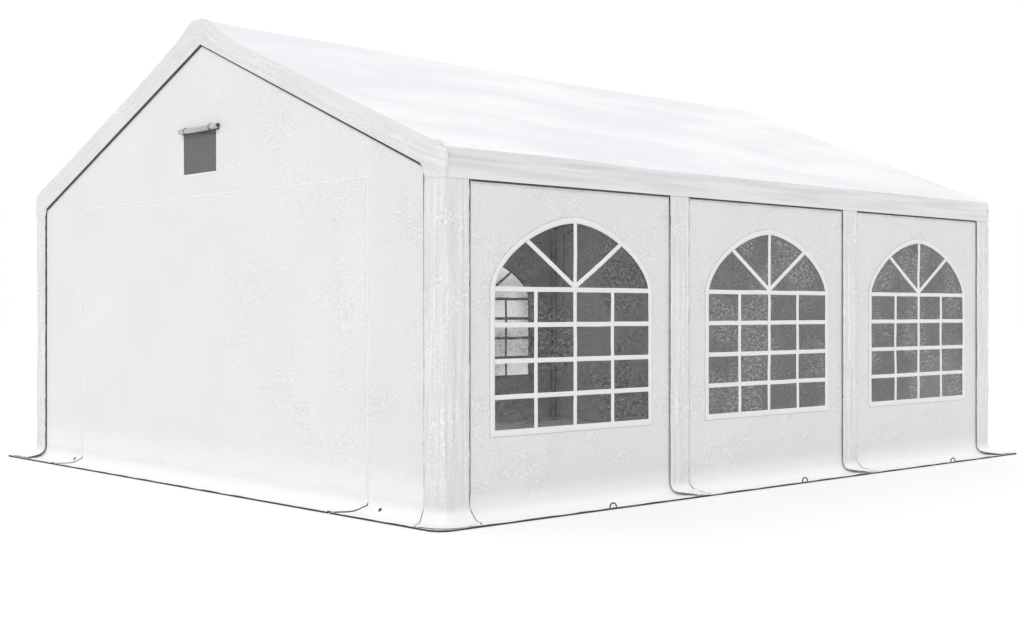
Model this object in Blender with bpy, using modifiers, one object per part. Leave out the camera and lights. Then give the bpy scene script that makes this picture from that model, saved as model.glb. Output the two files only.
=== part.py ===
"""Marquee tent: white tarpaulin over a frame of steel tubes, three bays long, with arched windows.

Metres, +Z up. X runs along the ridge and Y across it. The origin lies on the ground in the middle.
The front is -Y, and the left gable is at -X.
"""

import math

import bmesh
import bpy
from mathutils import Matrix, Vector

# Outer sizes of the tent
LENGTH = 5.96  # over the two gable trims
WIDTH = 5.22  # over the two valances
RIDGE = 3.15  # top of the roof cover at the ridge
EAVE = 2.10  # top of the roof cover at its long edges
VALANCE_FOOT = 1.943
GAP = 0.0003  # between pieces that touch

# Sheets of tarpaulin and clear film
SHEET = 0.004
FILM = 0.002
WALL_RECESS = 0.010  # from the back of a pole cover to the face of a wall

# Frame of tubes
BAYS = 3
TUBE_RADIUS = 0.019
SLEEVE_RADIUS = 0.022
SLEEVE_REACH = 0.09  # from the middle of a joint to the end of its sleeves
FOOT_PLATE = 0.11
PLATE_THICKNESS = 0.004
TUBE_SIDES = 16
SMOOTH_BELOW = math.radians(35)  # edges bent less than this are shaded smooth

# Ground flaps, and the covers that hang over the posts
SKIRT_REACH = 0.187
SKIRT_CORNER_RADIUS = 0.09
SKIRT_CORNER_STEPS = 4
SLIT_WIDTH = 0.008
SLIT_LAND = 0.03  # flap left whole between a slit and the wall
POLE_COVER_AT = 0.965
POLE_COVER_WIDTH = 0.192
CORNER_COVER_FRONT = 0.184
CORNER_COVER_SIDE = 0.192
CORNER_RADIUS = 0.005
CORNER_STEPS = 2
FLARE_TOP = 0.11
FLARE_REACH = 0.09
FLARE_STEPS = 3
FOOT_REACH = 0.165

# Gable trim, door and vent
TRIM_APEX = 3.035
TRIM_SLOPE = 0.4155
TRIM_BEND = 0.05
TRIM_BEND_STEPS = 5
DOOR_NEAR = -1.90
DOOR_FAR = 1.80
DOOR_TOP = 1.99
VENT_WIDTH = 0.43
VENT_FOOT = 2.15
VENT_TOP = 2.435
VENT_ROLL_LENGTH = 0.52
VENT_ROLL_RADIUS = 0.022

# Windows, over the outside of their white frame
WINDOW_PITCH = 1.92
WINDOW_HALF_WIDTH = 0.6875
WINDOW_FOOT = 0.479
WINDOW_SPRING = 1.324
WINDOW_RISE = 0.431
ARCH_POWER = 1.65  # 2 would be half an ellipse
ARCH_STEPS = 24

# Places worked out from the sizes above
PITCH = math.atan2(RIDGE - EAVE, WIDTH / 2)
SHEET_DROP = SHEET / math.cos(PITCH)
WALL_FRONT = WIDTH / 2 - SHEET - WALL_RECESS
WALL_SIDE = LENGTH / 2 - SHEET - WALL_RECESS
POST_Y = WALL_FRONT - SHEET - GAP - SLEEVE_RADIUS
POST_X = WALL_SIDE - SHEET - GAP - SLEEVE_RADIUS
BAY = 2 * POST_X / BAYS
FRAMES_X = [-POST_X + BAY * i for i in range(BAYS + 1)]
WALL_FOOT = SHEET + GAP
ACROSS = (math.pi / 2, 0, 0)  # a flat outline stands up, facing the front
ALONG = (math.pi / 2, 0, math.pi / 2)  # a flat outline stands up, facing a gable


def clear_scene():
    for obj in list(bpy.data.objects):
        bpy.data.objects.remove(obj, do_unlink=True)


def new_collection(name):
    made = bpy.data.collections.new(name)
    bpy.context.scene.collection.children.link(made)
    return made


def new_material(name, colour, roughness, metallic=0.0, alpha=1.0):
    made = bpy.data.materials.new(name)
    made.use_nodes = True
    shader = made.node_tree.nodes["Principled BSDF"]
    shader.inputs["Base Color"].default_value = (*colour, 1.0)
    shader.inputs["Roughness"].default_value = roughness
    shader.inputs["Metallic"].default_value = metallic
    shader.inputs["Alpha"].default_value = alpha
    return made


clear_scene()
TENT = new_collection("marquee_tent")
JOINED_SHAPES = new_collection("joined_shapes")
STEEL = new_material("galvanised_steel", (0.60, 0.61, 0.62), 0.42, metallic=0.9)
ROOF_SHEET = new_material("roof_tarpaulin", (0.90, 0.91, 0.92), 0.50)
WALL_SHEET = new_material("wall_tarpaulin", (0.84, 0.84, 0.82), 0.55)
COVER_SHEET = new_material("cover_tarpaulin", (0.82, 0.83, 0.85), 0.50)
SKIRT_SHEET = new_material("skirt_tarpaulin", (0.92, 0.92, 0.91), 0.60)
CLEAR_FILM = new_material("clear_film", (0.35, 0.36, 0.37), 0.12, alpha=0.5)
MESH_CLOTH = new_material("insect_mesh", (0.28, 0.29, 0.30), 0.85)


def add_object(name, data, material):
    data.materials.append(material)
    obj = bpy.data.objects.new(name, data)
    TENT.objects.link(obj)
    return obj


def roof_top(y):
    """Height of the roof cover's outer face at a distance y from the ridge."""
    return RIDGE - math.tan(PITCH) * abs(y)


def roof_under(y):
    return roof_top(y) - SHEET_DROP


def mirrored(points):
    """The same outline on the other side of the ridge, still in order."""
    return [(-x, z) for x, z in reversed(points)]


def plate(name, outlines, thickness, turn, place, material):
    """A flat sheet with the first outline as its edge and any others as holes."""
    curve = bpy.data.curves.new(name, "CURVE")
    curve.dimensions = "2D"
    curve.fill_mode = "BOTH"
    curve.extrude = thickness / 2
    for outline in outlines:
        spline = curve.splines.new("POLY")
        spline.points.add(len(outline) - 1)
        for point, (x, y) in zip(spline.points, outline):
            point.co = (x, y, 0, 1)
        spline.use_cyclic_u = True
    obj = add_object(name, curve, material)
    obj.rotation_euler = turn
    obj.location = place
    return obj


def box_outline(low_x, low_y, high_x, high_y):
    return [(low_x, low_y), (high_x, low_y), (high_x, high_y), (low_x, high_y)]


def bend(start, corner, end):
    """Points that round off a corner, from start to end, along a parabola."""
    points = []
    for i in range(TRIM_BEND_STEPS + 1):
        t = i / TRIM_BEND_STEPS
        points.append(tuple((1 - t) ** 2 * a + 2 * t * (1 - t) * b + t * t * c
                            for a, b, c in zip(start, corner, end)))
    return points


# Frame of tubes


def add_tube(bm, start, end, radius):
    """A straight length of tube, closed at both ends, between two points."""
    start, end = Vector(start), Vector(end)
    along = end - start
    turn = Vector((0, 0, 1)).rotation_difference(along).to_matrix().to_4x4()
    bmesh.ops.create_cone(
        bm, cap_ends=True, segments=TUBE_SIDES, radius1=radius, radius2=radius,
        depth=along.length, matrix=Matrix.Translation((start + end) / 2) @ turn)


def smooth_mesh(name, bm):
    """A mesh from bm, shaded smooth where it bends gently."""
    mesh = bpy.data.meshes.new(name)
    bm.to_mesh(mesh)
    bm.free()
    mesh.shade_smooth()
    mesh.set_sharp_from_angle(angle=SMOOTH_BELOW)
    return mesh


def tube_object(name, start, end, radius, material=STEEL):
    bm = bmesh.new()
    add_tube(bm, start, end, radius)
    return add_object(name, smooth_mesh(name, bm), material)


def join_on(obj, bm):
    """Fuses the solid in bm on to an object, with a Boolean union."""
    mesh = smooth_mesh(obj.name + "_joined", bm)
    helper = bpy.data.objects.new(mesh.name, mesh)
    helper.hide_render = True
    helper.display_type = "WIRE"
    JOINED_SHAPES.objects.link(helper)
    union = obj.modifiers.new("join", "BOOLEAN")
    union.operation = "UNION"
    union.object = helper


def join_sleeve(obj, start, end):
    bm = bmesh.new()
    add_tube(bm, start, end, SLEEVE_RADIUS)
    join_on(obj, bm)


def joint_height(y):
    """Height of the middle of a frame joint at a distance y from the ridge."""
    return roof_under(y) - (SLEEVE_RADIUS + GAP) / math.cos(PITCH)


def post(name, x, y):
    """An upright tube on its foot plate, with a sleeve under the eave rail.

    The plate reaches inwards, away from the walls.
    """
    joint = joint_height(y)
    obj = tube_object(name, (x, y, 0), (x, y, joint - SLEEVE_REACH / 2), TUBE_RADIUS)
    join_sleeve(obj, (x, y, joint - SLEEVE_REACH), (x, y, joint - TUBE_RADIUS - GAP))
    at_end = abs(x) > POST_X - BAY / 2
    plate_x = x - math.copysign(FOOT_PLATE / 2 - SLEEVE_RADIUS, x) if at_end else x
    plate_y = y - math.copysign(FOOT_PLATE / 2 - SLEEVE_RADIUS, y)
    size = Matrix.Diagonal((FOOT_PLATE, FOOT_PLATE, PLATE_THICKNESS, 1))
    place = Matrix.Translation((plate_x, plate_y, PLATE_THICKNESS / 2))
    bm = bmesh.new()
    bmesh.ops.create_cube(bm, size=1, matrix=place @ size)
    join_on(obj, bm)


def rafter(name, x, side):
    """A sloping tube between two sleeves, from the eave rail to the ridge rail. side is -1 in front."""
    low = Vector((x, side * POST_Y, joint_height(POST_Y)))
    high = Vector((x, 0, joint_height(0)))
    along = (high - low).normalized()
    inside = along * SLEEVE_REACH / 2
    obj = tube_object(name, low + inside, high - inside, TUBE_RADIUS)
    for joint, way in ((low, along), (high, -along)):
        join_sleeve(obj, joint + way * (TUBE_RADIUS + GAP), joint + way * SLEEVE_REACH)


def rail(name, y):
    """A tube along the tent, past all its frames."""
    z, end = joint_height(y), POST_X + SLEEVE_RADIUS
    tube_object(name, (-end, y, z), (end, y, z), TUBE_RADIUS)


def build_frame():
    for number, x in enumerate(FRAMES_X, 1):
        for side, word in ((-1, "front"), (1, "back")):
            post(f"post_{word}_{number}", x, side * POST_Y)
            rafter(f"rafter_{word}_{number}", x, side)
    rail("eave_rail_front", -POST_Y)
    rail("eave_rail_back", POST_Y)
    rail("ridge_rail", 0)


# Roof cover


def build_roof():
    """Two slopes, the valances that hang from their long edges, and a trim on each gable."""
    length = LENGTH - 2 * (SHEET + GAP)
    eave, ridge = WIDTH / 2, GAP / 2
    slope = [(-eave, roof_under(eave)), (-ridge, roof_under(ridge)),
             (-ridge, roof_top(ridge)), (-eave, roof_top(eave))]
    plate("roof_front", [slope], length, ALONG, (0, 0, 0), ROOF_SHEET)
    plate("roof_back", [mirrored(slope)], length, ALONG, (0, 0, 0), ROOF_SHEET)
    hang = box_outline(-length / 2, VALANCE_FOOT, length / 2, roof_under(eave) - GAP)
    for side, word in ((-1, "front"), (1, "back")):
        place = (0, side * (eave - SHEET / 2), 0)
        plate(f"valance_{word}", [hang], SHEET, ACROSS, place, COVER_SHEET)

    inner = eave - CORNER_COVER_SIDE
    bend_z = TRIM_APEX - TRIM_SLOPE * inner
    rounded = bend((inner, bend_z - TRIM_BEND), (inner, bend_z),
                   (inner - TRIM_BEND, bend_z + TRIM_SLOPE * TRIM_BEND))
    right = [(eave, roof_top(eave)), (eave, VALANCE_FOOT), (inner, VALANCE_FOOT), *rounded]
    trim = [(0, RIDGE), *right, (0, TRIM_APEX), *mirrored(right)]
    for side, word in ((-1, "left"), (1, "right")):
        place = (side * (LENGTH / 2 - SHEET / 2), 0, 0)
        plate(f"gable_trim_{word}", [trim], SHEET, ALONG, place, COVER_SHEET)


# Walls and windows


def window_outline(middle, shrink=0.0):
    """An upright window whose arch is |x/a|^n + |z/b|^n = 1 above the springing line."""
    half, rise = WINDOW_HALF_WIDTH - shrink, WINDOW_RISE - shrink
    points = [(middle - half, WINDOW_FOOT + shrink), (middle + half, WINDOW_FOOT + shrink)]
    for i in range(ARCH_STEPS + 1):
        angle = math.pi * i / ARCH_STEPS
        across = math.copysign(abs(math.cos(angle)) ** (2 / ARCH_POWER), math.cos(angle))
        up = abs(math.sin(angle)) ** (2 / ARCH_POWER)
        points.append((middle + half * across, WINDOW_SPRING + rise * up))
    return points


def build_long_walls():
    """A panel for each bay of each long side, with its clear window set in the opening."""
    wall_top = roof_under(WALL_FRONT) - GAP
    inside = WALL_SIDE - SHEET
    seams = [-inside, *FRAMES_X[1:-1], inside]
    for side, word in ((-1, "front"), (1, "back")):
        place = (0, side * (WALL_FRONT - SHEET / 2), 0)
        for number in range(1, BAYS + 1):
            middle = WINDOW_PITCH * (number - (BAYS + 1) / 2)
            edge = box_outline(seams[number - 1] + GAP, WALL_FOOT, seams[number] - GAP, wall_top)
            panel = [edge, window_outline(middle)]
            plate(f"wall_{word}_{number}", panel, SHEET, ACROSS, place, WALL_SHEET)
            film = window_outline(middle, shrink=GAP)
            plate(f"window_{word}_{number}", [film], FILM, ACROSS, place, CLEAR_FILM)


def build_gables():
    """Each gable wall has a roll-up door between two zips, and a mesh vent under its rolled flap."""
    eave = WALL_FRONT
    wall = [(-eave, WALL_FOOT), (DOOR_NEAR, WALL_FOOT), (DOOR_NEAR, DOOR_TOP), (DOOR_FAR, DOOR_TOP),
            (DOOR_FAR, WALL_FOOT), (eave, WALL_FOOT), (eave, roof_under(eave) - GAP),
            (0, roof_under(0) - GAP), (-eave, roof_under(eave) - GAP)]
    vent = box_outline(-VENT_WIDTH / 2, VENT_FOOT, VENT_WIDTH / 2, VENT_TOP)
    mesh = box_outline(-VENT_WIDTH / 2 + GAP, VENT_FOOT + GAP, VENT_WIDTH / 2 - GAP, VENT_TOP - GAP)
    door = box_outline(DOOR_NEAR + GAP, WALL_FOOT, DOOR_FAR - GAP, DOOR_TOP - GAP)
    for side, word in ((-1, "left"), (1, "right")):
        place = (side * (WALL_SIDE - SHEET / 2), 0, 0)
        plate(f"gable_wall_{word}", [wall, vent], SHEET, ALONG, place, WALL_SHEET)
        plate(f"door_{word}", [door], SHEET, ALONG, place, WALL_SHEET)
        plate(f"vent_mesh_{word}", [mesh], FILM, ALONG, place, MESH_CLOTH)
        x = side * (WALL_SIDE + GAP + VENT_ROLL_RADIUS)
        z = VENT_TOP + VENT_ROLL_RADIUS
        half = VENT_ROLL_LENGTH / 2
        tube_object(f"vent_flap_{word}", (x, -half, z), (x, half, z), VENT_ROLL_RADIUS, WALL_SHEET)


# Ground flaps


def half_flap(wall, wall_end, outer, outer_end):
    """Half a flap, from its middle to a corner cut at 45 degrees and rounded on the outside."""
    miter = GAP / math.sqrt(2)
    turn = SKIRT_CORNER_RADIUS
    middle = (outer_end - turn, outer - turn)
    arc = []
    for i in range(SKIRT_CORNER_STEPS + 1):
        angle = math.pi / 2 - math.pi / 4 * i / SKIRT_CORNER_STEPS
        arc.append((middle[0] + turn * math.cos(angle) - miter, middle[1] + turn * math.sin(angle)))
    return [*arc, (wall_end - miter, wall)]


def slits(outer, wall):
    """Notches from the outer edge of a gable flap towards the foot of each zip."""
    points = []
    for at in (DOOR_NEAR, DOOR_FAR):
        points += [(at - SLIT_WIDTH / 2, outer), (at - SLIT_WIDTH / 2, wall + SLIT_LAND),
                   (at + SLIT_WIDTH / 2, wall + SLIT_LAND), (at + SLIT_WIDTH / 2, outer)]
    return points


def build_skirt():
    """Four flaps lie on the ground, each with its inner edge under the foot of its wall."""
    inner_y, outer_y = WALL_FRONT - SHEET, WIDTH / 2 + SKIRT_REACH
    inner_x, outer_x = WALL_SIDE - SHEET, LENGTH / 2 + SKIRT_REACH
    long_half = half_flap(inner_y, inner_x, outer_y, outer_x)
    long_flap = mirrored(long_half) + long_half
    side_half = half_flap(inner_x, inner_y, outer_x, outer_y)
    side_flap = mirrored(side_half) + slits(outer_x, inner_x) + side_half
    lift = (0, 0, SHEET / 2)
    plate("skirt_back", [long_flap], SHEET, (0, 0, 0), lift, SKIRT_SHEET)
    plate("skirt_front", [[(x, -y) for x, y in long_flap]], SHEET, (0, 0, 0), lift, SKIRT_SHEET)
    plate("skirt_right", [[(x, y) for y, x in side_flap]], SHEET, (0, 0, 0), lift, SKIRT_SHEET)
    plate("skirt_left", [[(-x, y) for y, x in side_flap]], SHEET, (0, 0, 0), lift, SKIRT_SHEET)


# Covers that hang over the posts


def hanging_cover(name, plan, flip):
    """A sheet that hangs from the roof cover, then curves out and lies on the ground flap.

    plan is a list of points along its top edge, each with the direction that faces out there.
    flip turns the faces round where the plan runs the other way about the tent.
    """
    flat_z = 2 * SHEET + GAP
    levels = [(VALANCE_FOOT - GAP, 0.0)]
    for i in range(FLARE_STEPS + 1):
        angle = math.pi / 2 * i / FLARE_STEPS
        drop = (FLARE_TOP - flat_z) * math.sin(angle)
        levels.append((FLARE_TOP - drop, FLARE_REACH * (1 - math.cos(angle))))
    levels.append((flat_z, FOOT_REACH))

    bm = bmesh.new()
    bmesh.ops.create_grid(bm, x_segments=len(plan) - 1, y_segments=len(levels) - 1, size=0.5)
    for vert in bm.verts:
        column = round((vert.co.x + 0.5) * (len(plan) - 1))
        row = round((vert.co.y + 0.5) * (len(levels) - 1))
        (x, y), (out_x, out_y) = plan[column]
        z, reach = levels[row]
        vert.co = (x + out_x * reach, y + out_y * reach, z)
    if flip:
        bmesh.ops.reverse_faces(bm, faces=bm.faces)
    obj = add_object(name, smooth_mesh(name, bm), COVER_SHEET)
    thick = obj.modifiers.new("thickness", "SOLIDIFY")
    thick.thickness = SHEET
    thick.offset = -1
    thick.use_even_offset = True


def corner_plan(side_x, side_y):
    """Along the long side, round the corner and along the gable."""
    corner_x, corner_y, turn = LENGTH / 2, WIDTH / 2, CORNER_RADIUS
    plan = [((corner_x - CORNER_COVER_FRONT, corner_y), (0, 1))]
    for i in range(CORNER_STEPS + 1):
        angle = math.pi / 2 * (1 - i / CORNER_STEPS)
        out = (math.cos(angle), math.sin(angle))
        plan.append(((corner_x - turn + turn * out[0], corner_y - turn + turn * out[1]), out))
    plan.append(((corner_x, corner_y - CORNER_COVER_SIDE), (1, 0)))
    return [((side_x * x, side_y * y), (side_x * a, side_y * b)) for (x, y), (a, b) in plan]


def build_covers():
    for side_y, word in ((-1, "front"), (1, "back")):
        for number, x in enumerate((-POLE_COVER_AT, POLE_COVER_AT), 1):
            y, half = side_y * WIDTH / 2, POLE_COVER_WIDTH / 2
            plan = [((x - half, y), (0, side_y)), ((x + half, y), (0, side_y))]
            hanging_cover(f"pole_cover_{word}_{number}", plan, flip=side_y < 0)
        for side_x, end in ((-1, "left"), (1, "right")):
            plan = corner_plan(side_x, side_y)
            hanging_cover(f"corner_cover_{word}_{end}", plan, flip=side_x * side_y > 0)


build_frame()
build_roof()
build_long_walls()
build_gables()
build_skirt()
build_covers()
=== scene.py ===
"""Looks of the marquee tent: white coated tarpaulin over a frame of galvanised tubes.

Metres, +Z up. X runs along the ridge, the long front side faces -Y and the left gable faces -X.
"""

import math

import bmesh
import bpy
import numpy as np
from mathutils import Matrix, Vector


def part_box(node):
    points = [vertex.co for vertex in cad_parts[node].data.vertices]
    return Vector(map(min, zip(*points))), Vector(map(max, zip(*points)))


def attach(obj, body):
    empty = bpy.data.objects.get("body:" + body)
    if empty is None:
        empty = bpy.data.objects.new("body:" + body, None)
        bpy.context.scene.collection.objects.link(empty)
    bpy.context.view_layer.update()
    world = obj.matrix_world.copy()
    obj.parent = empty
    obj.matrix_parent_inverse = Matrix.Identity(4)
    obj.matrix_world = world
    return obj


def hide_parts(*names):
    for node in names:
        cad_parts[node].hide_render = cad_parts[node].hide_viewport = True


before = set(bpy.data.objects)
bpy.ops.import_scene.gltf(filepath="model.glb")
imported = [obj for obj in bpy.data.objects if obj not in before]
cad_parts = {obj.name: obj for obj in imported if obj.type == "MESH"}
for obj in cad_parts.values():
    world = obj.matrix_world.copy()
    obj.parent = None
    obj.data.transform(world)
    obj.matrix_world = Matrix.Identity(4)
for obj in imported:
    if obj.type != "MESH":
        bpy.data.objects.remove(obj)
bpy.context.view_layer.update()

# Viewpoint
# A standing camera held low, off the near corner of the left gable, with a slightly long lens. It
# looks level, 43 degrees round from straight across the tent.
EYE = (-8.0855, -8.7129, 1.1973)
HEADING = math.radians(42.676)
DIP = math.radians(0.069)
LENS = 50.28


def placed(name, data):
    """A new object in the scene."""
    obj = bpy.data.objects.new(name, data)
    bpy.context.scene.collection.objects.link(obj)
    return obj


camera = placed("camera", bpy.data.cameras.new("camera"))
camera.data.lens = LENS
camera.location = EYE
camera.rotation_euler = (math.pi / 2 - DIP, 0, -HEADING)
bpy.context.scene.camera = camera

# Studio
# A pale floor under an even white sky that is brighter behind the tent, and a broad soft lamp high
# on the left that lets the folds show.
FLOOR_REACH = 90
SKY_BASE = 0.56
SKY_BEHIND = 0.46
SKY_ABOVE = 0.36
LAMP_FROM = (-0.60, -0.40, 0.69)
LAMP_WIDTH = math.radians(14)


def arithmetic(operation, swapped=False):
    """A method that joins two values, or a value and a number, with one Math node."""
    def apply(a, b):
        pair = (b, a) if swapped else (a, b)
        return a.finish.add("ShaderNodeMath", dict(enumerate(pair)), operation=operation)
    return apply


class Value:
    """A number worked out at each place. Arithmetic on it adds Math nodes to its finish."""

    def __init__(self, finish, socket):
        self.finish, self.socket = finish, socket

    __add__ = __radd__ = arithmetic("ADD")
    __sub__ = arithmetic("SUBTRACT")
    __rsub__ = arithmetic("SUBTRACT", swapped=True)
    __mul__ = __rmul__ = arithmetic("MULTIPLY")
    __pow__ = arithmetic("POWER")


class Finish:
    """The nodes of a material, or of the sky, with one method that adds any other node to them."""

    def __init__(self, name, constants, blocks=bpy.data.materials, shader="Principled BSDF"):
        self.block = blocks.new(name)
        self.block.use_nodes = True
        self.tree = self.block.node_tree
        self.shader = self.tree.nodes[shader]
        self.feed(self.shader, constants)

    def feed(self, node, inputs):
        """Links values, and writes numbers and colours, into a node's sockets."""
        for key, value in inputs.items():
            if isinstance(value, Value):
                self.tree.links.new(value.socket, node.inputs[key])
            else:
                node.inputs[key].default_value = value

    def done(self, inputs):
        """The finished material or sky, once its shader is fed with what varies."""
        self.feed(self.shader, inputs)
        return self.block

    def add(self, kind, inputs, out=0, **settings):
        """Adds a node: its settings first, then numbers or links into its sockets."""
        node = self.tree.nodes.new(kind)
        for key, value in settings.items():
            setattr(node, key, value)
        self.feed(node, inputs)
        return Value(self, node.outputs[out])

    def size(self, value):
        """A value without its sign."""
        return self.add("ShaderNodeMath", {0: value}, operation="ABSOLUTE")

    def wave(self, value, turns):
        """The sine of a place in metres, -1 to 1, with so many radians a metre."""
        return self.add("ShaderNodeMath", {0: value * turns}, operation="SINE")

    def cloth_place(self):
        """The flat place in metres, from the cloth map."""
        return self.add("ShaderNodeUVMap", {}, uv_map="cloth")

    def solid_place(self):
        """The place in the tent, in metres."""
        return self.add("ShaderNodeTexCoord", {}, out="Object")

    def split(self, where):
        """The x, y and z of a place."""
        node = self.tree.nodes.new("ShaderNodeSeparateXYZ")
        self.feed(node, {0: where})
        return [Value(self, socket) for socket in node.outputs]

    def stretched(self, where, u, v, turn=0.0):
        """A flat place with its two axes scaled and turned."""
        return self.add("ShaderNodeMapping", {"Vector": where, "Scale": (u, v, 1), "Rotation": (0, 0, turn)})

    def noise(self, where, scale, detail=2.0, distortion=0.0):
        """Soft cloudy noise, 0 to 1, with so many clouds a metre."""
        return self.add("ShaderNodeTexNoise", {"Vector": where, "Scale": scale, "Detail": detail,
                                               "Distortion": distortion})

    def step(self, value, low, high):
        """0 below low, 1 above high, eased between."""
        return self.add("ShaderNodeMapRange", {"Value": value, "From Min": low, "From Max": high},
                        interpolation_type="SMOOTHSTEP")

    def blend(self, factor, low, high):
        """Two colours mixed in proportion: low at 0, high at 1."""
        return self.add("ShaderNodeMix", {0: factor, 6: low, 7: high}, out=2, data_type="RGBA")

    def bump(self, height, depth):
        """A normal from a height of 0 to 1 that stands for so many metres."""
        return self.add("ShaderNodeBump", {"Height": height, "Distance": depth, "Strength": 1.0})


def shade(level, cast=0.0):
    """A near grey. cast is the share of blue taken away, and below 0 it adds blue and takes red."""
    return (level * (1 + min(cast, 0) * 0.3), level, level * (1 - cast), 1)


def sky_share(towards, power):
    """How far a direction of the sky leans to a given way: their dot product, from 0, to a power."""
    inputs = {0: sky.add("ShaderNodeTexCoord", {}, out="Generated"), 1: towards}
    leaning = sky.add("ShaderNodeVectorMath", inputs, out="Value", operation="DOT_PRODUCT")
    return sky.add("ShaderNodeClamp", {"Value": leaning}) ** power


bpy.context.scene.view_settings.view_transform = "Standard"
floor_mesh = bpy.data.meshes.new("studio_floor")
corners = [(x * FLOOR_REACH, y * FLOOR_REACH, 0) for x, y in ((-1, -1), (1, -1), (1, 1), (-1, 1))]
floor_mesh.from_pydata(corners, [], [(0, 1, 2, 3)])
floor_finish = Finish("studio_floor", {"Base Color": shade(0.97), "Roughness": 0.9,
                                       "Emission Color": shade(1.0), "Emission Strength": 0.05})
floor_mesh.materials.append(floor_finish.block)
floor = placed("studio_floor", floor_mesh)

sky = Finish("studio_sky", {"Color": shade(1.0)}, bpy.data.worlds, "Background")
behind = sky_share((math.sin(HEADING), math.cos(HEADING), 0), 0.8)
above = sky_share((0, 0, 1), 2.0)
bpy.context.scene.world = sky.done({"Strength": behind * SKY_BEHIND + above * SKY_ABOVE + SKY_BASE})

lamp = placed("soft_lamp", bpy.data.lights.new("soft_lamp", "SUN"))
lamp.data.energy = 1.0
lamp.data.angle = LAMP_WIDTH
lamp.rotation_euler = (math.atan2(math.hypot(*LAMP_FROM[:2]), LAMP_FROM[2]), 0,
                       math.atan2(LAMP_FROM[0], -LAMP_FROM[1]))

# Tube frame
# Posts, rafters and rails are thin steel tubes with a dull zinc coat, pushed into sleeves and
# standing on small foot plates. The solids keep their shape and get the coat's spangle.


def zinc_finish():
    """Dull zinc: spangles from cell noise, soft clouds in its shade and roughness, and a fine grain in its
    bump.
    """
    zinc = Finish("galvanised_steel", {"Metallic": 0.9})
    where = zinc.solid_place()
    spangle = zinc.add("ShaderNodeTexVoronoi", {"Vector": where, "Scale": 160.0}, out="Distance")
    cloud = zinc.noise(where, 9.0, 4.0)
    fine = zinc.noise(where, 420.0)
    colour = zinc.blend(spangle * 0.7 + cloud * 0.5, shade(0.50), shade(0.66, -0.01))
    return zinc.done({"Base Color": colour, "Roughness": cloud * 0.22 + spangle * 0.12 + 0.26,
                      "Normal": zinc.bump(fine * 0.5 + spangle * 0.5, 0.00015)})


ZINC = zinc_finish()
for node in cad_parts.values():
    if node.name.startswith(("post_", "rafter_", "eave_rail_", "ridge_rail")):
        node.data.materials.clear()
        node.data.materials.append(ZINC)

# Roof cover
# One sheet of heavy tarpaulin lies over both slopes, breaks over the eave rails and hangs down as
# a hemmed valance on each long side. It sags a little between the rafters.


def span(name, axis):
    """The lowest and the highest place of a solid along one axis."""
    low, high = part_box(name)
    return low[axis], high[axis]


QUARTER = math.pi / 2
RIDGE_Z = span("roof_front", 2)[1]
EAVE_Y = -span("roof_front", 1)[0]
EAVE_Z = 2.10
VALANCE_FOOT = span("valance_front", 2)[0]
END_X = span("gable_trim_right", 0)[1]
PITCH = math.atan2(RIDGE_Z - EAVE_Z, EAVE_Y)
ROOF_REACH = END_X - 0.012
FRAMES_X = [sum(span(f"rafter_front_{n}", 0)) / 2 for n in (1, 2, 3, 4)]
BAY = FRAMES_X[1] - FRAMES_X[0]
RIDGE_ROUND = 0.02
EAVE_ROUND = 0.008
EAVE_AT = EAVE_Y / math.cos(PITCH) - EAVE_ROUND / 2
ROOF_SAG = 0.015
PEAK_LIFT = 0.006
RIDGE_LIFT = 0.050
RAKE_LIFT = 0.045
EAVE_LIFT = 0.017
LOOSE_FROM = -1.15
HEM = 0.026
SHEET_THICKNESS = 0.0012
# radians a metre of the weave, plane waves in a ripple, and samples along a bent strip
TAPES = 1570.0
WAVES = 9
BEND_SAMPLES = 4001


def join(*parts):
    """One array of several, end to end."""
    return np.concatenate(parts)


def grid(*parts):
    """The coordinates of many places, from arrays that are first spread to one shape."""
    return np.stack(np.broadcast_arrays(*parts), -1)


def mirrored(values, sign=1):
    """Values from a middle outwards, after their mirror image."""
    return join(sign * values[:0:-1], values)


def ease(t):
    """0 to 1 with level ends: t squared times (3 - 2t), with t held between 0 and 1."""
    t = np.clip(t, 0, 1)
    return t * t * (3 - 2 * t)


def ripples(u, v, seed, length, lean=0.0, spread=math.pi):
    """A sum of plane waves of about one length, each with its own seeded turn and phase.

    lean is the direction that the waves travel in, from u towards v, and spread the fan about it.
    The sum is scaled so that it mostly lies between -1 and 1.
    """
    draw = np.random.default_rng(1000 + seed)
    total = np.zeros(np.broadcast(u, v).shape)
    for _ in range(WAVES):
        turn = lean + spread * (draw.random() - 0.5)
        size = length * draw.uniform(0.65, 1.6)
        phase = draw.uniform(0, 2 * math.pi)
        along = u * math.cos(turn) + v * math.sin(turn)
        total += np.sin(2 * math.pi * along / size + phase)
    return total / (1.2 * math.sqrt(WAVES))


def bent_strip(distance, turns, start=0.0):
    """Across, down and angle along a strip whose slope eases from turn to turn.

    The angle below level is start plus, for each (place, length, angle) turn, its angle times
    the eased share of its length that is passed. Across and down are the summed cosine and sine.
    """
    fine = np.linspace(0, distance.max(), BEND_SAMPLES)
    angle = start + sum(turn * ease((fine - place) / length) for place, length, turn in turns)
    parts = []
    for slope in (np.cos(angle), np.sin(angle)):
        parts.append(join([0], np.cumsum((slope[1:] + slope[:-1]) / 2) * fine[1]))
    return [np.interp(distance, fine, values) for values in (*parts, angle)]


def stretches(start, *ends_and_steps):
    """Numbers from a start: for each (end, steps) pair, that many even steps up to that end."""
    parts = [np.array([start])]
    for end, steps in ends_and_steps:
        parts.append(np.linspace(parts[-1][-1], end, steps + 1)[1:])
    return join(*parts)


def corners_of(places, quads):
    """The four corners of each quad, as four arrays."""
    return (places[quads[:, corner]] for corner in range(4))


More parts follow.
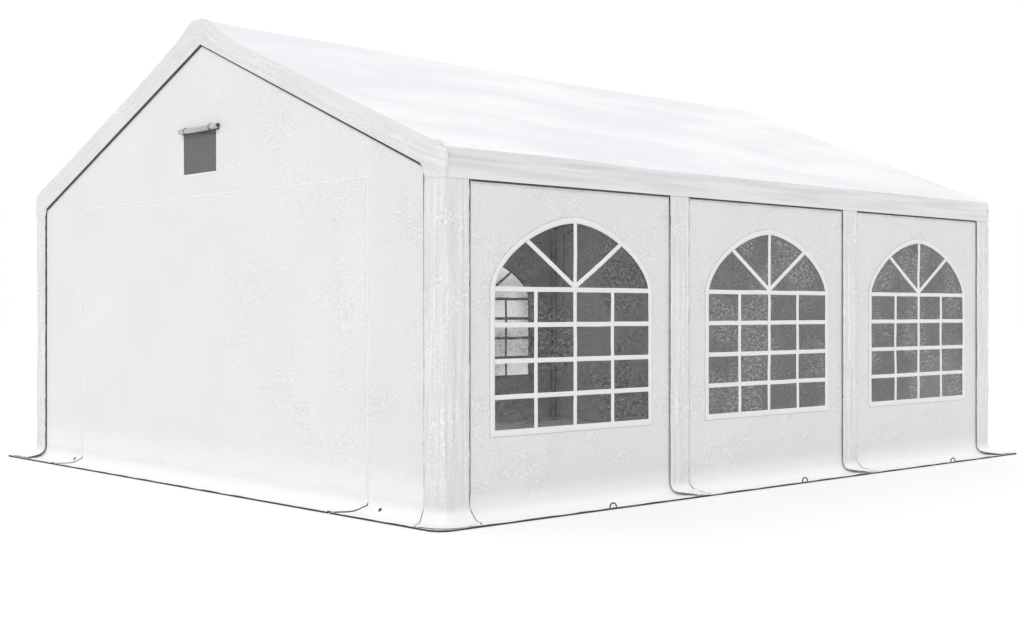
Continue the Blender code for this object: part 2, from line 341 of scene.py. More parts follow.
def patch(points, flat=None, outside=None, keep=None, closed=False):
    """Vertices, quads and flat places of a grid of points, rows by columns by 3.

    outside is a direction that the faces should look to. keep is False for quads that are cut out.
    A closed grid also joins its last column to its first.
    """
    rows, columns = points.shape[:2]
    index = np.arange(rows * columns).reshape(rows, columns)
    if closed:
        index = np.append(index, index[:, :1], axis=1)
    quads = grid(index[:-1, :-1], index[:-1, 1:], index[1:, 1:], index[1:, :-1])
    quads = quads.reshape(-1, 4) if keep is None else quads[keep]
    places = points.reshape(-1, 3)
    if outside is not None:
        a, b, c, d = corners_of(places, quads)
        if np.cross(c - a, d - b).sum(0) @ np.array(outside) < 0:
            quads = quads[:, ::-1]
    used, quads = np.unique(quads, return_inverse=True)
    flat = points[..., :2] if flat is None else flat
    return places[used], quads.reshape(-1, 4), flat.reshape(-1, 2)[used]


def piece(name, shapes, finish, replaced=(), weld=False):
    """One object at the origin from several patches, with its flat places as a UV map in metres."""
    places, quads, flat = (join(*parts) for parts in zip(*shapes))
    counts = [len(shape[0]) for shape in shapes]
    starts = np.cumsum(counts) - counts
    quads = quads + np.repeat(starts, [len(shape[1]) for shape in shapes])[:, None]
    mesh = bpy.data.meshes.new(name)
    mesh.vertices.add(len(places))
    mesh.vertices.foreach_set("co", places.astype(np.float32).ravel())
    mesh.loops.add(quads.size)
    mesh.loops.foreach_set("vertex_index", quads.astype(np.int32).ravel())
    mesh.polygons.add(len(quads))
    mesh.polygons.foreach_set("loop_start", np.arange(0, quads.size, 4, dtype=np.int32))
    mesh.update(calc_edges=True)
    cloth_map = mesh.uv_layers.new(name="cloth")
    cloth_map.uv.foreach_set("vector", flat[quads.ravel()].astype(np.float32).ravel())
    if weld:
        bm = bmesh.new()
        bm.from_mesh(mesh)
        bmesh.ops.remove_doubles(bm, verts=bm.verts, dist=1e-6)
        bm.to_mesh(mesh)
        bm.free()
    mesh.shade_smooth()
    edge_uses = np.zeros(len(mesh.loops), np.int32)
    mesh.loops.foreach_get("edge_index", edge_uses)
    sharp = mesh.attributes.new("sharp_edge", "BOOLEAN", "EDGE")
    sharp.data.foreach_set("value", np.bincount(edge_uses, minlength=len(mesh.edges)) == 1)
    mesh.materials.append(finish)
    obj = placed(name, mesh)
    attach(obj, "root")
    if replaced:
        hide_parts(*replaced)
    return obj


def cloth(name, shapes, finish, replaced):
    """A sheet with its thickness on the inside. The size and area of its flat cut are worked out but not
    used.
    """
    obj = piece(name, shapes, finish, replaced)
    thick = obj.modifiers.new("thickness", "SOLIDIFY")
    thick.thickness = SHEET_THICKNESS
    thick.offset = -1
    flat = join(*(places for _, _, places in shapes))
    width, length = flat.max(0) - flat.min(0)
    area = 0.0
    for _, quads, places in shapes:
        a, b, c, d = corners_of(places, quads)
        area += abs((c - a)[:, 0] * (d - b)[:, 1] - (c - a)[:, 1] * (d - b)[:, 0]).sum() / 2
    area = min(float(area), width * length)


def roof_top(y):
    """Height of the cover's face at a distance y from the ridge, before it sags."""
    return RIDGE_Z - math.tan(PITCH) * np.abs(y)


def cover_lift(x, y):
    """Height of the loose cover above its plane.

    It is bunched over both ends of the ridge tube, stands up along the ridge more and more towards
    the left gable, and is puffed up along that gable's back rake, most near the peak.
    """
    side = np.abs(y)
    peak = PEAK_LIFT * np.exp(-((np.abs(x) - END_X) / 0.16) ** 2 - (side / 0.12) ** 1.5)
    ridge = RIDGE_LIFT * ease((0.9 - x) / 3.8) * np.exp(-(side / 0.20) ** 1.6)
    rake = (RAKE_LIFT + 0.050 * np.exp(-side / 0.7)) * ease((y + 0.03) / 0.20) * ease((-x - 2.50) / 0.35)
    return peak + ridge + rake


def eave_lift(x, y):
    """Height of the front eave's edge above its plane: it is puffed up from mid bay to the left gable."""
    return EAVE_LIFT * ease(LOOSE_FROM - x) * ease((-y - EAVE_Y + 0.20) / 0.18)


def roof_shape():
    """Both slopes and both valances as one bent strip, moved along its normal by sag and folds."""
    turns = [(0, RIDGE_ROUND, PITCH), (EAVE_AT, EAVE_ROUND, QUARTER - PITCH)]
    across, down, _ = bent_strip(np.array([1.0, EAVE_AT + EAVE_ROUND]), turns)
    drop = math.tan(PITCH) * across[0] - down[0]
    foot_at = EAVE_AT + EAVE_ROUND + RIDGE_Z - VALANCE_FOOT - down[1] - drop
    half = stretches(0, (RIDGE_ROUND, 2), (0.5, 14), (EAVE_AT, 64), (EAVE_AT + EAVE_ROUND, 4), (foot_at, 28))
    across, down, angle = bent_strip(half, turns)
    across = across * EAVE_Y / across[-1]
    across, down, angle, d = (mirrored(values)[:, None] for values in (across, down + drop, angle, half))
    side = mirrored(np.ones_like(half), -1)[:, None]
    x = np.linspace(-ROOF_REACH, ROOF_REACH, 151)[None, :]
    v = side * d
    on_slope = np.sin(math.pi * np.clip(d / EAVE_AT, 0, 1))
    in_bay = np.abs(np.sin(math.pi * (x - FRAMES_X[0]) / BAY)) ** 0.7 * (np.abs(x) < FRAMES_X[-1])
    sag = -ROOF_SAG * in_bay * on_slope ** 0.6
    folds = 0.0050 * ripples(x, v, 3, 0.55, 0.9, 0.7) + 0.0022 * ripples(x, v, 4, 0.22, -0.8, 0.9)
    folds = folds * in_bay * on_slope ** 0.5 + 0.0007 * ripples(x, v, 5, 0.10)
    below = d - EAVE_AT - EAVE_ROUND / 2
    hang = ease(below / 0.05)
    # the valance's upper band: a hollow as wide as wedge, then a roll
    wedge = 0.008 + 0.054 * ease(LOOSE_FROM - x)
    band = -0.19 * ease(below / wedge) + 0.33 * ease((below - wedge) / 0.012)
    band = band - 0.14 * ease((below - wedge - 0.012) / 0.05)
    level_folds = 0.0012 * ripples(x * 0.10, v, 6, 0.085, QUARTER, 0.5) + wedge * band
    waves = 0.0016 * ripples(x, v * 0.3, 7, 0.38, 0, 0.5)
    under_trim = 0.006 * ease((-x - END_X + 0.07) / 0.04)
    hanging_out = level_folds * ease((foot_at - d) / 0.03) + waves - under_trim
    out = (sag + folds) * (1 - hang) + hanging_out * hang
    y = side * (across + np.sin(angle) * out)
    edge = eave_lift(x, y) * ease((foot_at - d) / 0.10)
    z = RIDGE_Z - down + np.cos(angle) * out + cover_lift(x, y) + edge
    return grid(x, y, z), grid(x, v), foot_at


roof_points, roof_flat, ROOF_FOOT_AT = roof_shape()


def roof_finish():
    """The heavier roof sheet: painted paler on its slopes than on its hanging valance, for the light on top,
    with a stitched hem along each valance.
    """
    made = Finish("roof_tarpaulin", {"Specular IOR Level": 0.42})
    where = made.cloth_place()
    u, v, _ = made.split(where)
    far = made.size(v)
    hanging = made.step(far, ROOF_FOOT_AT - 0.158, ROOF_FOOT_AT - 0.152)
    hem = made.step(far, ROOF_FOOT_AT - HEM - 0.001, ROOF_FOOT_AT - HEM + 0.001)
    seam = made.step(made.size(far - ROOF_FOOT_AT + HEM - 0.004), 0.0016, 0.0005)
    small = made.noise(where, 55.0, 2.0, 0.3)
    folds = made.noise(where, 9.0, 3.0, 0.7)
    ridge = 1 - made.size(folds * 2 - 1) * 2.2
    height = ridge * 0.30 + small * (hanging * 0.25 + 0.10) + hem * 0.5 + made.step(far, 0.012, 0.003) * 0.3
    height = height + made.wave(u, TAPES) * made.wave(v, TAPES) * 0.03 + seam * made.wave(u, 1250.0) * 0.25
    drift = made.noise(made.stretched(where, 0.55, 1.5, 0.5), 1.0, 3.0, 0.6)
    # painted light: the sloping top is painted paler than the hanging valance of the same sheet
    top = made.blend(made.step(drift, 0.36, 0.66), shade(0.81, -0.036), shade(0.905, -0.022))
    pulled = made.noise(made.stretched(where, 1.2, 30.0), 1.0, 3.0)
    side = made.blend(made.step(small * 0.2 + pulled * 0.8, 0.36, 0.62), shade(0.695, -0.024),
                      shade(0.80, -0.016))
    colour = made.blend(hem * 0.55, made.blend(hanging, top, side), shade(0.82, -0.012))
    return made.done({"Base Color": colour, "Roughness": small * 0.12 + 0.36,
                      "Normal": made.bump(height, 0.0012)})


cloth("roof_cover", [patch(roof_points, roof_flat, (0, 0, 1))], roof_finish(),
      ["roof_front", "roof_back", "valance_front", "valance_back"])

# Gable trims
# At each gable a wide hemmed strip folds over the end rafters and down over the top of the gable
# wall. At the eaves it turns the corner and meets the valance, loosely stuffed round the frame joint.
LONG_SIDES = ((-1, "front"), (1, "back"))
GABLES = ((-1, "left"), (1, "right"))
TRIM_APEX = 3.035
TRIM_SLOPE = 0.4155
TRIM_LAP = 0.075
TRIM_ROUND = 0.024
TRIM_GAP = 0.0030
TRIM_STEP = 0.055
CORNER_Y = EAVE_Y - 0.166
CORNER_ROUND = 0.020
CORNER_LAP = 0.011


def tarpaulin(name, level, cast, roughness, crinkle, spread, foot=None, streaks=None, painted_lap_shade=None,
              crinkle_fade=None):
    """Coated woven polyethylene in the cloth's own metres.

    Colour: one shade, paler and darker by spread, with slow clouds, and pale specks in the crinkles that are
    painted highlights.
    Height: a fine weave of flat tapes and small crinkles in patches.
    foot is (shade, lowest, highest): a paler shade that the sheet takes on towards the ground, eased in from
    the highest height down to the lowest; painted light near the bright ground.
    streaks is (per metre along u, per metre along v): long soft lines where the sheet is pulled, raised in
    the bump and painted paler where raised and darker between, as their light and shade.
    painted_lap_shade is (share, lowest, highest): painted shade on the lap, where that share of the shade is
    left near v = 0.
    crinkle_fade is (lowest, highest) in the tent's y: the crinkles die out from the first to the second, and
    the sheet is a little darker past the front zip.
    """
    made = Finish(name, {"Specular IOR Level": 0.42})
    where = made.cloth_place()
    u, v, _ = made.split(where)
    _, across, up = made.split(made.solid_place())
    folds = made.noise(where, 17.0, 3.0, 0.6)
    small = made.noise(where, 62.0, 2.0, 0.6)
    island = made.step(made.noise(where, 2.6), 0.40, 0.64)
    if crinkle_fade:
        island = island * (1 - made.step(across, *crinkle_fade))
    # pale specks on the small crinkles: painted highlights
    painted_crinkle_highlight = made.step(small, 0.48, 0.70) * (island * 0.85 + 0.15)
    ridge = 1 - made.size(folds * 2 - 1) * 2.4
    height = (ridge * (island * 0.7 + 0.3) + small * (island * 2.0 + 0.3)) * crinkle
    height = height + made.wave(u, TAPES) * made.wave(v, TAPES) * 0.03
    mix = made.noise(where, 1.3, 3.0) * 0.5 + painted_crinkle_highlight * 0.8
    if crinkle_fade:
        mix = mix - (1 - made.step(across, -2.10, -1.80)) * 0.22
    # painted light and shade along the pulled lines, which the bump also raises
    if streaks:
        pulled = made.noise(made.stretched(where, *streaks), 1.0, 3.0)
        mix = mix + (pulled - 0.5) * 1.4
        height = height + pulled * crinkle * 0.8
    colour = made.blend(made.step(mix, 0.0, 0.9), shade(level * (1 - spread), cast),
                        shade(level * (1 + spread), cast))
    # painted shade: the lap near v = 0 is darker than the face
    if painted_lap_shade:
        colour = made.blend(made.step(v, painted_lap_shade[1], painted_lap_shade[2]), shade(level * painted_lap_shade[0]), colour)
    # painted light: the sheet turns paler towards the ground
    if foot:
        above = made.step(up + small * 0.03, foot[1], foot[2])
        height = height * (above * 0.9 + 0.1)
        colour = made.blend(above, shade(foot[0]), colour)
    return made.done({"Base Color": colour, "Roughness": roughness + small * 0.12,
                      "Normal": made.bump(height, 0.0012)})


def trim_shape(side, seed):
    """A curtain along the gable's outline: over the rake edge, down its face, round both corners.

    Columns follow the outline from the ridge to the eave and round the corner, turning by turn and
    then on by lap. Rows run from the roof, over a quarter circle, and down to the lower edge. The
    other half is its mirror image.
    """
    run = stretches(0, (CORNER_Y - 0.05, 104), (CORNER_Y, 12), (CORNER_Y + 0.001, 1),
                    (EAVE_Y - CORNER_ROUND, 15))
    turn = stretches(0, (0, len(run) - 1), (QUARTER, 8), (QUARTER, 4))
    lap = stretches(0, (0, len(run) + 7), (CORNER_LAP, 4))
    run = np.append(run, np.full(12, run[-1]))
    # plan position from the gable's face and from the tent's middle
    depth = CORNER_ROUND * (1 - np.cos(turn)) + lap
    reach = run + CORNER_ROUND * np.sin(turn)
    along = run + CORNER_ROUND * turn + lap
    low = TRIM_APEX - TRIM_SLOPE * reach - TRIM_STEP * ease((reach - CORNER_Y + 0.05) / 0.05) ** 2
    low = np.where(reach <= CORNER_Y, low, VALANCE_FOOT)
    depth, out_x, low = (mirrored(values)[None, :] for values in (depth, np.cos(turn), low))
    reach, out_y, along = (mirrored(values, -1)[None, :] for values in (reach, np.sin(turn), along))
    over = stretches(1, (0, 6), (0, 18))[:, None]
    arc = stretches(0, (0, 6), (QUARTER, 6), (QUARTER, 12))[:, None]
    hung = stretches(0, (0, 12), (0.8, 9), (0.88, 1), (1.0, 2))[:, None]
    bent = TRIM_ROUND - (TRIM_ROUND - EAVE_ROUND - TRIM_GAP) * ease(depth / CORNER_ROUND)
    inward = bent * (1 - np.sin(arc)) + (TRIM_LAP - bent) * over
    dropped = bent * (1 - np.cos(arc))
    x = END_X - depth - out_x * inward
    y = reach - out_y * inward
    top = roof_top(y) + TRIM_GAP + cover_lift(side * x, y) + eave_lift(side * x, y)
    length = np.maximum(top - bent - low, 0.01)
    z = top - dropped - hung * length
    v = TRIM_LAP - inward + dropped + hung * length
    u = along / math.cos(PITCH)
    from_eave = np.abs(reach) - EAVE_Y
    near_corner = ease((from_eave + 0.26) / 0.2)
    on_face = ease(hung / 0.25) * ease((1 - hung) / 0.25)
    out = 0.0050 * np.exp(-((hung - 0.42 - 0.06 * ripples(u, 0, seed, 1.3)) / 0.10) ** 2)
    out = out + 0.0035 * on_face * ripples(u, v, seed + 1, 0.16, 0.5, 1.4)
    out = out + 0.0020 * on_face * ripples(u * 0.16, v, seed + 2, 0.030, QUARTER, 0.5)
    stuffing = 0.007 * near_corner * ease((0.02 - from_eave) / 0.10)
    out = out + stuffing * on_face * (1 + 0.6 * ripples(u, v, seed + 3, 0.09, 0, 0.8))
    out = out - 0.002 * ease((hung - 0.9) / 0.1)
    up = 0.0030 * ripples(u, v, seed + 4, 0.20, 0, 0.6) + 0.0015 * ripples(u, v, seed + 5, 0.07)
    up = (up + 0.0022 + 0.004 * near_corner) * ease(v / 0.04) * (1 - ease(hung / 0.3))
    tucked = ease(1 - v / 0.02) if side < 0 else ease((TRIM_LAP + 0.03 - v) / 0.02)
    tucked = np.maximum(tucked, ease((from_eave + 0.085) / 0.06))
    up = (up * (1 - tucked) - 0.0060 * tucked) * (hung == 0)
    if side < 0:
        out = out + 0.0015 * ease((np.abs(along) - along.max() + 0.03) / 0.02)
    return grid(side * (x + out_x * out), y + out_y * out, z + up), grid(u, v)


# the trim's darker lap by the roof is painted shade, and its streaks carry painted light and shade
TRIM_WHITE = tarpaulin("trim_tarpaulin", 0.79, 0.0, 0.40, 1.2, 0.09, streaks=(1.6, 46.0),
                       painted_lap_shade=(0.92, 0.06, 0.10))
for side, word in GABLES:
    points, flat = trim_shape(side, 20 + 40 * side)
    cloth(f"gable_trim_{word}_cloth", [patch(points, flat, (side, 0, 0))], TRIM_WHITE,
          [f"gable_trim_{word}"])

# Ground flaps
# A strip of clean white tarpaulin is welded to the foot of every wall. It bends outwards and lies
# on the ground. Those of the gables are slit below each zip, and have eyelets for pegs.
WALL_FRONT = span("wall_back_1", 1)[1]
WALL_SIDE = span("gable_wall_right", 0)[1]
FLAP_EDGE_Y = span("skirt_back", 1)[1]
FLAP_EDGE_X = span("skirt_right", 0)[1]
FLAP_GAP = 0.0022
PLUMB_FRONT = WALL_FRONT + FLAP_GAP
PLUMB_SIDE = WALL_SIDE + FLAP_GAP
FLAP_TOP = 0.135
FLAP_BEND = 0.165
BEND_REACH = bent_strip(np.linspace(0, FLAP_BEND, 50), [(0, FLAP_BEND, QUARTER)])[0][-1]
FLAP_LIFT = 0.0024
FLAP_CORNER = 0.09
FLAP_HEM = 0.012
FLAP_COLUMN = 0.022
SLITS = (-1.905, 1.79)
SLIT_GAP = 0.0012
SLIT_START = 0.012
SLIT_LEAN = 0.125
SLIT_WIDENING = 0.012
# the flap's paler foot, where it lies on the ground, is painted light
FLAP_WHITE = tarpaulin("skirt_tarpaulin", 0.86, 0.012, 0.48, 0.5, 0.03, foot=(0.95, 0.04, 0.13))


def flared(distance, reach):
    """Inwards, up and angle along a sheet that lies flat for a while, then bends up until plumb.

    distance runs from the outer edge. reach is how far the outer edge lies from the plumb part.
    """
    return bent_strip(distance, [(reach - BEND_REACH, FLAP_BEND, QUARTER)])


def flap_strip(ends, plumb, edge, seed):
    """One flap along a wall, from its outer edge up to its weld: along, outwards, up and flat place.

    Each end is (place, miter, lean). A mitred end runs out at 45 degrees and its outer corner is
    rounded. A slit end leans along the wall by lean, less and less towards the outer edge.
    """
    (start, miter_start, lean_start), (end, miter_end, lean_end) = ends
    reach = edge - plumb
    flat = reach - BEND_REACH
    rows = stretches(0, (FLAP_HEM, 2), (flat, 7), (flat + FLAP_BEND, 11),
                     (flat + FLAP_BEND + FLAP_TOP - BEND_REACH, 3))
    share = np.linspace(0, 1, max(int((end - start) / FLAP_COLUMN), 12) + 1)[None, :]
    d, inwards, up, angle = (values[:, None] for values in (rows, *flared(rows, reach)))
    out = np.clip(reach - inwards, 0, reach)
    lying = out / reach
    leant = np.clip((out - SLIT_START) / (reach - SLIT_START), 0, 1) ** 0.45
    low = start - out * miter_start + lean_start * leant
    high = end + out * miter_end + lean_end * leant
    s = low + (high - low) * share
    cut = 0.0
    for gap, miter in ((s - low, miter_start), (high - s, miter_end)):
        near = np.clip(1 - gap / FLAP_CORNER, 0, 1) * miter
        cut = cut + FLAP_CORNER * (1 - np.sqrt(1 - near ** 2)) * lying ** 4
    lift = 0.0030 * lying * (0.5 + 0.5 * ripples(s, d * 0.4, seed, 0.30, 0, 0.7))
    lift = lift + 0.0012 * (0.5 + 0.5 * ripples(s, d, seed + 1, 0.07, 0.2, 1.2))
    lift = lift + 0.0085 * ease(1 - d / 0.035)
    puckers = 0.0030 * np.sin(angle) * ripples(s, d, seed + 2, 0.10, 0.0, 0.7) * ease(out / 0.02)
    out = out - cut + np.sin(angle) * puckers - 0.0036 * ease((up - 0.085) / 0.04)
    z = up + FLAP_LIFT + np.cos(angle) * (lift + np.abs(puckers))
    return s, plumb + out, z, grid(s, d)


def gable_flap_ends(gap, widening):
    """The two ends of each of a gable's flaps, which keep gap from a slit's middle at the wall.

    At its foot a slit's side leans away from the slit's middle by widening.
    """
    ends = [(-WALL_FRONT, 1, 0.0)]
    for at in SLITS:
        ends += [(at - gap, 0, SLIT_LEAN - widening), (at + gap, 0, SLIT_LEAN + widening)]
    ends.append((WALL_FRONT, 1, 0.0))
    return list(zip(ends[::2], ends[1::2]))


LONG_FLAP_ENDS = ((-WALL_SIDE, 1, 0.0), (WALL_SIDE, 1, 0.0))
for side, word in LONG_SIDES:
    s, out, z, flat = flap_strip(LONG_FLAP_ENDS, PLUMB_FRONT, FLAP_EDGE_Y, 60 + side)
    cloth(f"ground_flap_{word}", [patch(grid(s, side * out, z), flat, (0, side, 1))], FLAP_WHITE,
          [f"skirt_{word}"])
for side, word in GABLES:
    shapes = []
    for number, ends in enumerate(gable_flap_ends(SLIT_GAP, SLIT_WIDENING)):
        s, out, z, flat = flap_strip(ends, PLUMB_SIDE, FLAP_EDGE_X, 70 + number)
        shapes.append(patch(grid(side * out, s, z + 0.0004 * number), flat, (side, 0, 1)))
    cloth(f"ground_flap_{word}", shapes, FLAP_WHITE, [f"skirt_{word}"])

# Post covers
# Loose strips hang from the valance over the seams between the wall panels, and L-shaped ones over
# the corners. They bend out at the foot, where they stand off the ground flaps or lie on them.
COVER_TOP = 0.022
COVER_GAP = 0.0025
COVER_FACE_Y = EAVE_Y - COVER_GAP
COVER_FACE_X = END_X - COVER_GAP
POLE_SPANS = [span(f"pole_cover_front_{n}", 0) for n in (1, 2)]
POLE_COVERS_X = [sum(ends) / 2 for ends in POLE_SPANS]
POLE_COVER_HALF = (POLE_SPANS[0][1] - POLE_SPANS[0][0]) / 2
COVER_TRIM = 0.010
CORNER_COVER_FRONT = 0.192
CORNER_COVER_SIDE = EAVE_Y - CORNER_Y
# the covers' paler foot is painted light, and their streaks carry painted light and shade
COVER_WHITE = tarpaulin("cover_tarpaulin", 0.805, 0.0, 0.40, 2.4, 0.12, foot=(0.93, 0.055, 0.125),
                        streaks=(52.0, 2.4))
# a foot's height above the ground at its free edge, its slope there, its length and its turns
POLE_FOOT = (0.013, 0.06, 0.215, ((0.0, 0.09, 0.12), (0.092, 0.120, QUARTER - 0.18)))
HIGH_FOOT = (0.013, 0.09, 0.215, ((0.0, 0.08, 0.12), (0.083, 0.130, QUARTER - 0.21)))
LYING_FOOT = (0.0095, 0.0, 0.215, ((0.07, 0.06, 0.87), (0.155, 0.06, QUARTER - 0.87)))
FOOT_REACH = 0.18
# how far a foot's side moves in at FOOT_REACH, and the reach at which it starts
NO_TAPER = (0.0, 0.0)
FRONT_TAPER = (0.065, 0.09)
SIDE_TAPER = (0.13, 0.0)
POLE_TAPER = (0.155, 0.03)
POLE_FLARE = (-0.03, 0.05)


def creases(u, v, seed, length, lean=0.0, spread=math.pi):
    """Sharp raised lines where a ripple passes zero: 1 less its size, cubed."""
    return (1 - np.clip(np.abs(ripples(u, v, seed, length, lean, spread)), 0, 1)) ** 3


def patches(u, v, seed, length):
    """Soft islands, 0 to 1, in which a surface is more creased than elsewhere."""
    return ease(ripples(u, v, seed, length) * 0.9 + 0.35)


def foot_profile(distance, foot):
    """Outwards, up and angle along a cover from the free edge of its foot."""
    clear, start, length, turns = foot
    run, up, angle = bent_strip(distance, turns, start)
    reach = bent_strip(np.array([0, length]), turns, start)[0][-1]
    return np.maximum(reach - run, 0), up + clear, angle


def tapered(out, taper):
    """How far a foot's side has moved in at some reach: none up to a start, then in proportion."""
    most, start = taper
    return most * np.clip((out - start) / (FOOT_REACH - start), 0, 1.2)


def cover_shape(along, places, ways, seed, crown, foot, first, last, point=0.0):
    """A strip from a plan line with outward ways: plumb above, bending out to a foot below.

    Vertical streaks and small crinkles move it along its normal, and crown swells its middle. The
    foot reaches further by point where its way out is diagonal.
    """
    total = foot[2] + VALANCE_FOOT + COVER_TOP - foot_profile(np.array([0, foot[2]]), foot)[1][-1]
    rows = stretches(0, (0.012, 2), (0.10, 7), (0.24, 18), (total, 92))
    d, out, z, angle = (values[:, None] for values in (rows, *foot_profile(rows, foot)))
    u = along[None, :]
    length = along.max() - along.min()
    across = (u - along.min()) / length
    hanging = ease((d - 0.12) / 0.2)
    streaks = 0.0034 * ripples(u, d * 0.10, seed, 0.050, 0, 0.5)
    offset = streaks * ease(across / 0.12) * ease((1 - across) / 0.12)
    offset = offset + 0.0016 * ripples(u, d * 0.60, seed + 1, 0.038, 0.3, 2.4)
    offset = offset + 0.0034 * creases(u, d * 0.7, seed + 2, 0.12, 0.2, 1.8) * patches(u, d, seed + 3, 0.35)
    offset = (offset + crown * np.sin(math.pi * across) ** 0.8) * (0.3 + 0.7 * hanging)
    offset = offset + 0.0015 * ripples(u, d, seed + 4, 0.09) * (1 - hanging) + 0.001
    below_top = ease((total - COVER_TOP - 0.004 - d) / 0.06)
    offset = offset * below_top - 0.0015 * (1 - below_top)
    shift = tapered(out, first) * ease(1 - across * 2) - tapered(out, last) * ease(across * 2 - 1)
    level = out * (1 + point * (2 * ways[:, 0] * ways[:, 1]) ** 2) + np.sin(angle) * offset
    x, y = (places[:, axis] + ways[:, axis] * level + np.gradient(places[:, axis], along) * shift
            for axis in range(2))
    return grid(x, y, z + np.cos(angle) * np.abs(offset)), grid(u, d)


for side, word in LONG_SIDES:
    for number, middle in enumerate(POLE_COVERS_X, 1):
        along = np.linspace(-POLE_COVER_HALF, POLE_COVER_HALF - COVER_TRIM, 27)
        points, flat = cover_shape(along, grid(middle + along, side * COVER_FACE_Y), grid(0 * along, side),
                                   90 + 7 * number + side, 0.0045, POLE_FOOT, POLE_TAPER, POLE_FLARE)
        cloth(f"pole_cover_{word}_{number}_cloth", [patch(points, flat, (0, side, 0))], COVER_WHITE,
              [f"pole_cover_{word}_{number}"])
    for end, end_word in GABLES:
        front = np.linspace(-CORNER_COVER_FRONT, -CORNER_ROUND, 22)[:-1]
        turn = np.linspace(0, QUARTER, 9)
        gable = np.linspace(CORNER_ROUND, CORNER_COVER_SIDE, 20)[1:]
        along = join(front, CORNER_ROUND * (turn - 1), gable - CORNER_ROUND * 0.43)
        way = join(0 * front, turn, 0 * gable + QUARTER)
        x = join(front, CORNER_ROUND * (np.sin(turn) - 1), 0 * gable)
        y = join(0 * front, CORNER_ROUND * (np.cos(turn) - 1), -gable)
        near = (side, end) == (-1, -1)
        points, flat = cover_shape(
            along, grid(end * (COVER_FACE_X + x), side * (COVER_FACE_Y + y)),
            grid(end * np.sin(way), side * np.cos(way)), 130 + 10 * end + side, 0.002,
            LYING_FOOT if near else HIGH_FOOT, FRONT_TAPER if end < 0 else POLE_TAPER,
            SIDE_TAPER if near else NO_TAPER, 0.0 if near else 0.35)
        cloth(f"corner_cover_{word}_{end_word}_cloth", [patch(points, flat, (end, side, 0))], COVER_WHITE,
              [f"corner_cover_{word}_{end_word}"])

# Long walls
# Each bay has its own panel of fine woven tarpaulin, laced to the frame behind the post covers, with
# an arched opening for its window. The panels stay creased from being packed folded.
# the panels' paler foot is painted light
WALL_WHITE = tarpaulin("wall_tarpaulin", 0.80, 0.020, 0.42, 3.0, 0.08, foot=(0.87, 0.09, 0.22))
WINDOW_HALF = (span("window_front_1", 0)[1] - span("window_front_1", 0)[0]) / 2
WINDOW_FOOT, WINDOW_TOP = span("window_front_1", 2)
WINDOW_SPRING = 1.324
ARCH_POWER = 1.65
PANEL_INSET = 0.004
WALL_TOP = span("wall_front_1", 2)[1]
WALL_LOW = 0.05
PACKED_PITCH = 0.46
# steps along a window's foot, up a side and over its arch
FOOT_STEPS, SIDE_STEPS, ARCH_STEPS = 54, 34, 82


def packed_folds(u, v, seed):
    """Straight creases from packing: thin ridges on a square grid, weaker here and there."""
    total = 0.0
    for along, across, lag in ((u, v, 0.13), (v, u, 0.31)):
        share = (along + lag) / PACKED_PITCH
        off = np.abs(share - np.round(share)) * PACKED_PITCH
        sign = np.where(np.round(share) % 2 == 0, 1.0, -0.7)
        total = total + sign * np.exp(-(off / 0.009) ** 2) * (0.5 + 0.5 * ripples(across, along, seed, 0.5))
    return total


def on_wall(window, x, z, lift, flat=None, closed=False):
    """A patch on a long wall's face, lift in front of it. x runs from the window's middle.

    The wall stands out by a slow billow, pulled folds, creases and packing folds.
    """
    side, _, _, middle, seed = window
    edge = ease((BAY / 2 - np.abs(x)) / 0.25)
    billow = np.cos(math.pi * np.clip(x / BAY, -0.5, 0.5)) * np.sin(math.pi * np.clip(z / WALL_TOP, 0, 1))
    total = 0.0022 * ripples(x, z, seed + 1, 0.42, 0.7, 1.6) * edge - 0.0020 * billow
    total = total + 0.0014 * ripples(x, z * 0.35, seed, 0.085, 0.0, 0.5) * ease((z - WALL_TOP + 0.45) / 0.4)
    small = 0.0011 * creases(x, z, seed + 3, 0.20, 0.8, 1.2) + 0.0007 * ripples(x, z, seed + 4, 0.065)
    total = total + small * (0.35 + 0.65 * patches(x, z, seed + 2, 0.55))
    total = total + 0.0016 * ripples(x, z, seed + 5, 0.09, 0.3, 1.5) * ease((0.38 - z) / 0.25)
    total = (total + 0.0007 * packed_folds(x, z, seed + 6)) * ease((z - 0.11) / 0.12)
    points = grid(middle + x, side * (WALL_FRONT + total + lift), z)
    return patch(points, grid(x, z) if flat is None else flat, (0, side, 0), closed=closed)


def window_line(shrink):
    """Points round a window, from its foot's left end: foot, right side, arch and left side.

    The arch is |x / a| to the power n plus |z / b| to the power n = 1. shrink moves the line in.
    """
    half, foot = WINDOW_HALF - shrink, WINDOW_FOOT + shrink
    angle = np.linspace(0, math.pi, ARCH_STEPS + 1)[:-1]
    power = 2 / ARCH_POWER
    arch_x = half * np.sign(np.cos(angle)) * np.abs(np.cos(angle)) ** power
    arch_z = WINDOW_SPRING + (WINDOW_TOP - WINDOW_SPRING - shrink) * np.sin(angle) ** power
    x = join(np.linspace(-half, half, FOOT_STEPS + 1)[:-1], np.full(SIDE_STEPS, half), arch_x,
             np.full(SIDE_STEPS, -half))
    z = join(np.full(FOOT_STEPS, foot), np.linspace(foot, WINDOW_SPRING, SIDE_STEPS + 1)[:-1], arch_z,
             np.linspace(WINDOW_SPRING, foot, SIDE_STEPS + 1)[:-1])
    return x, z


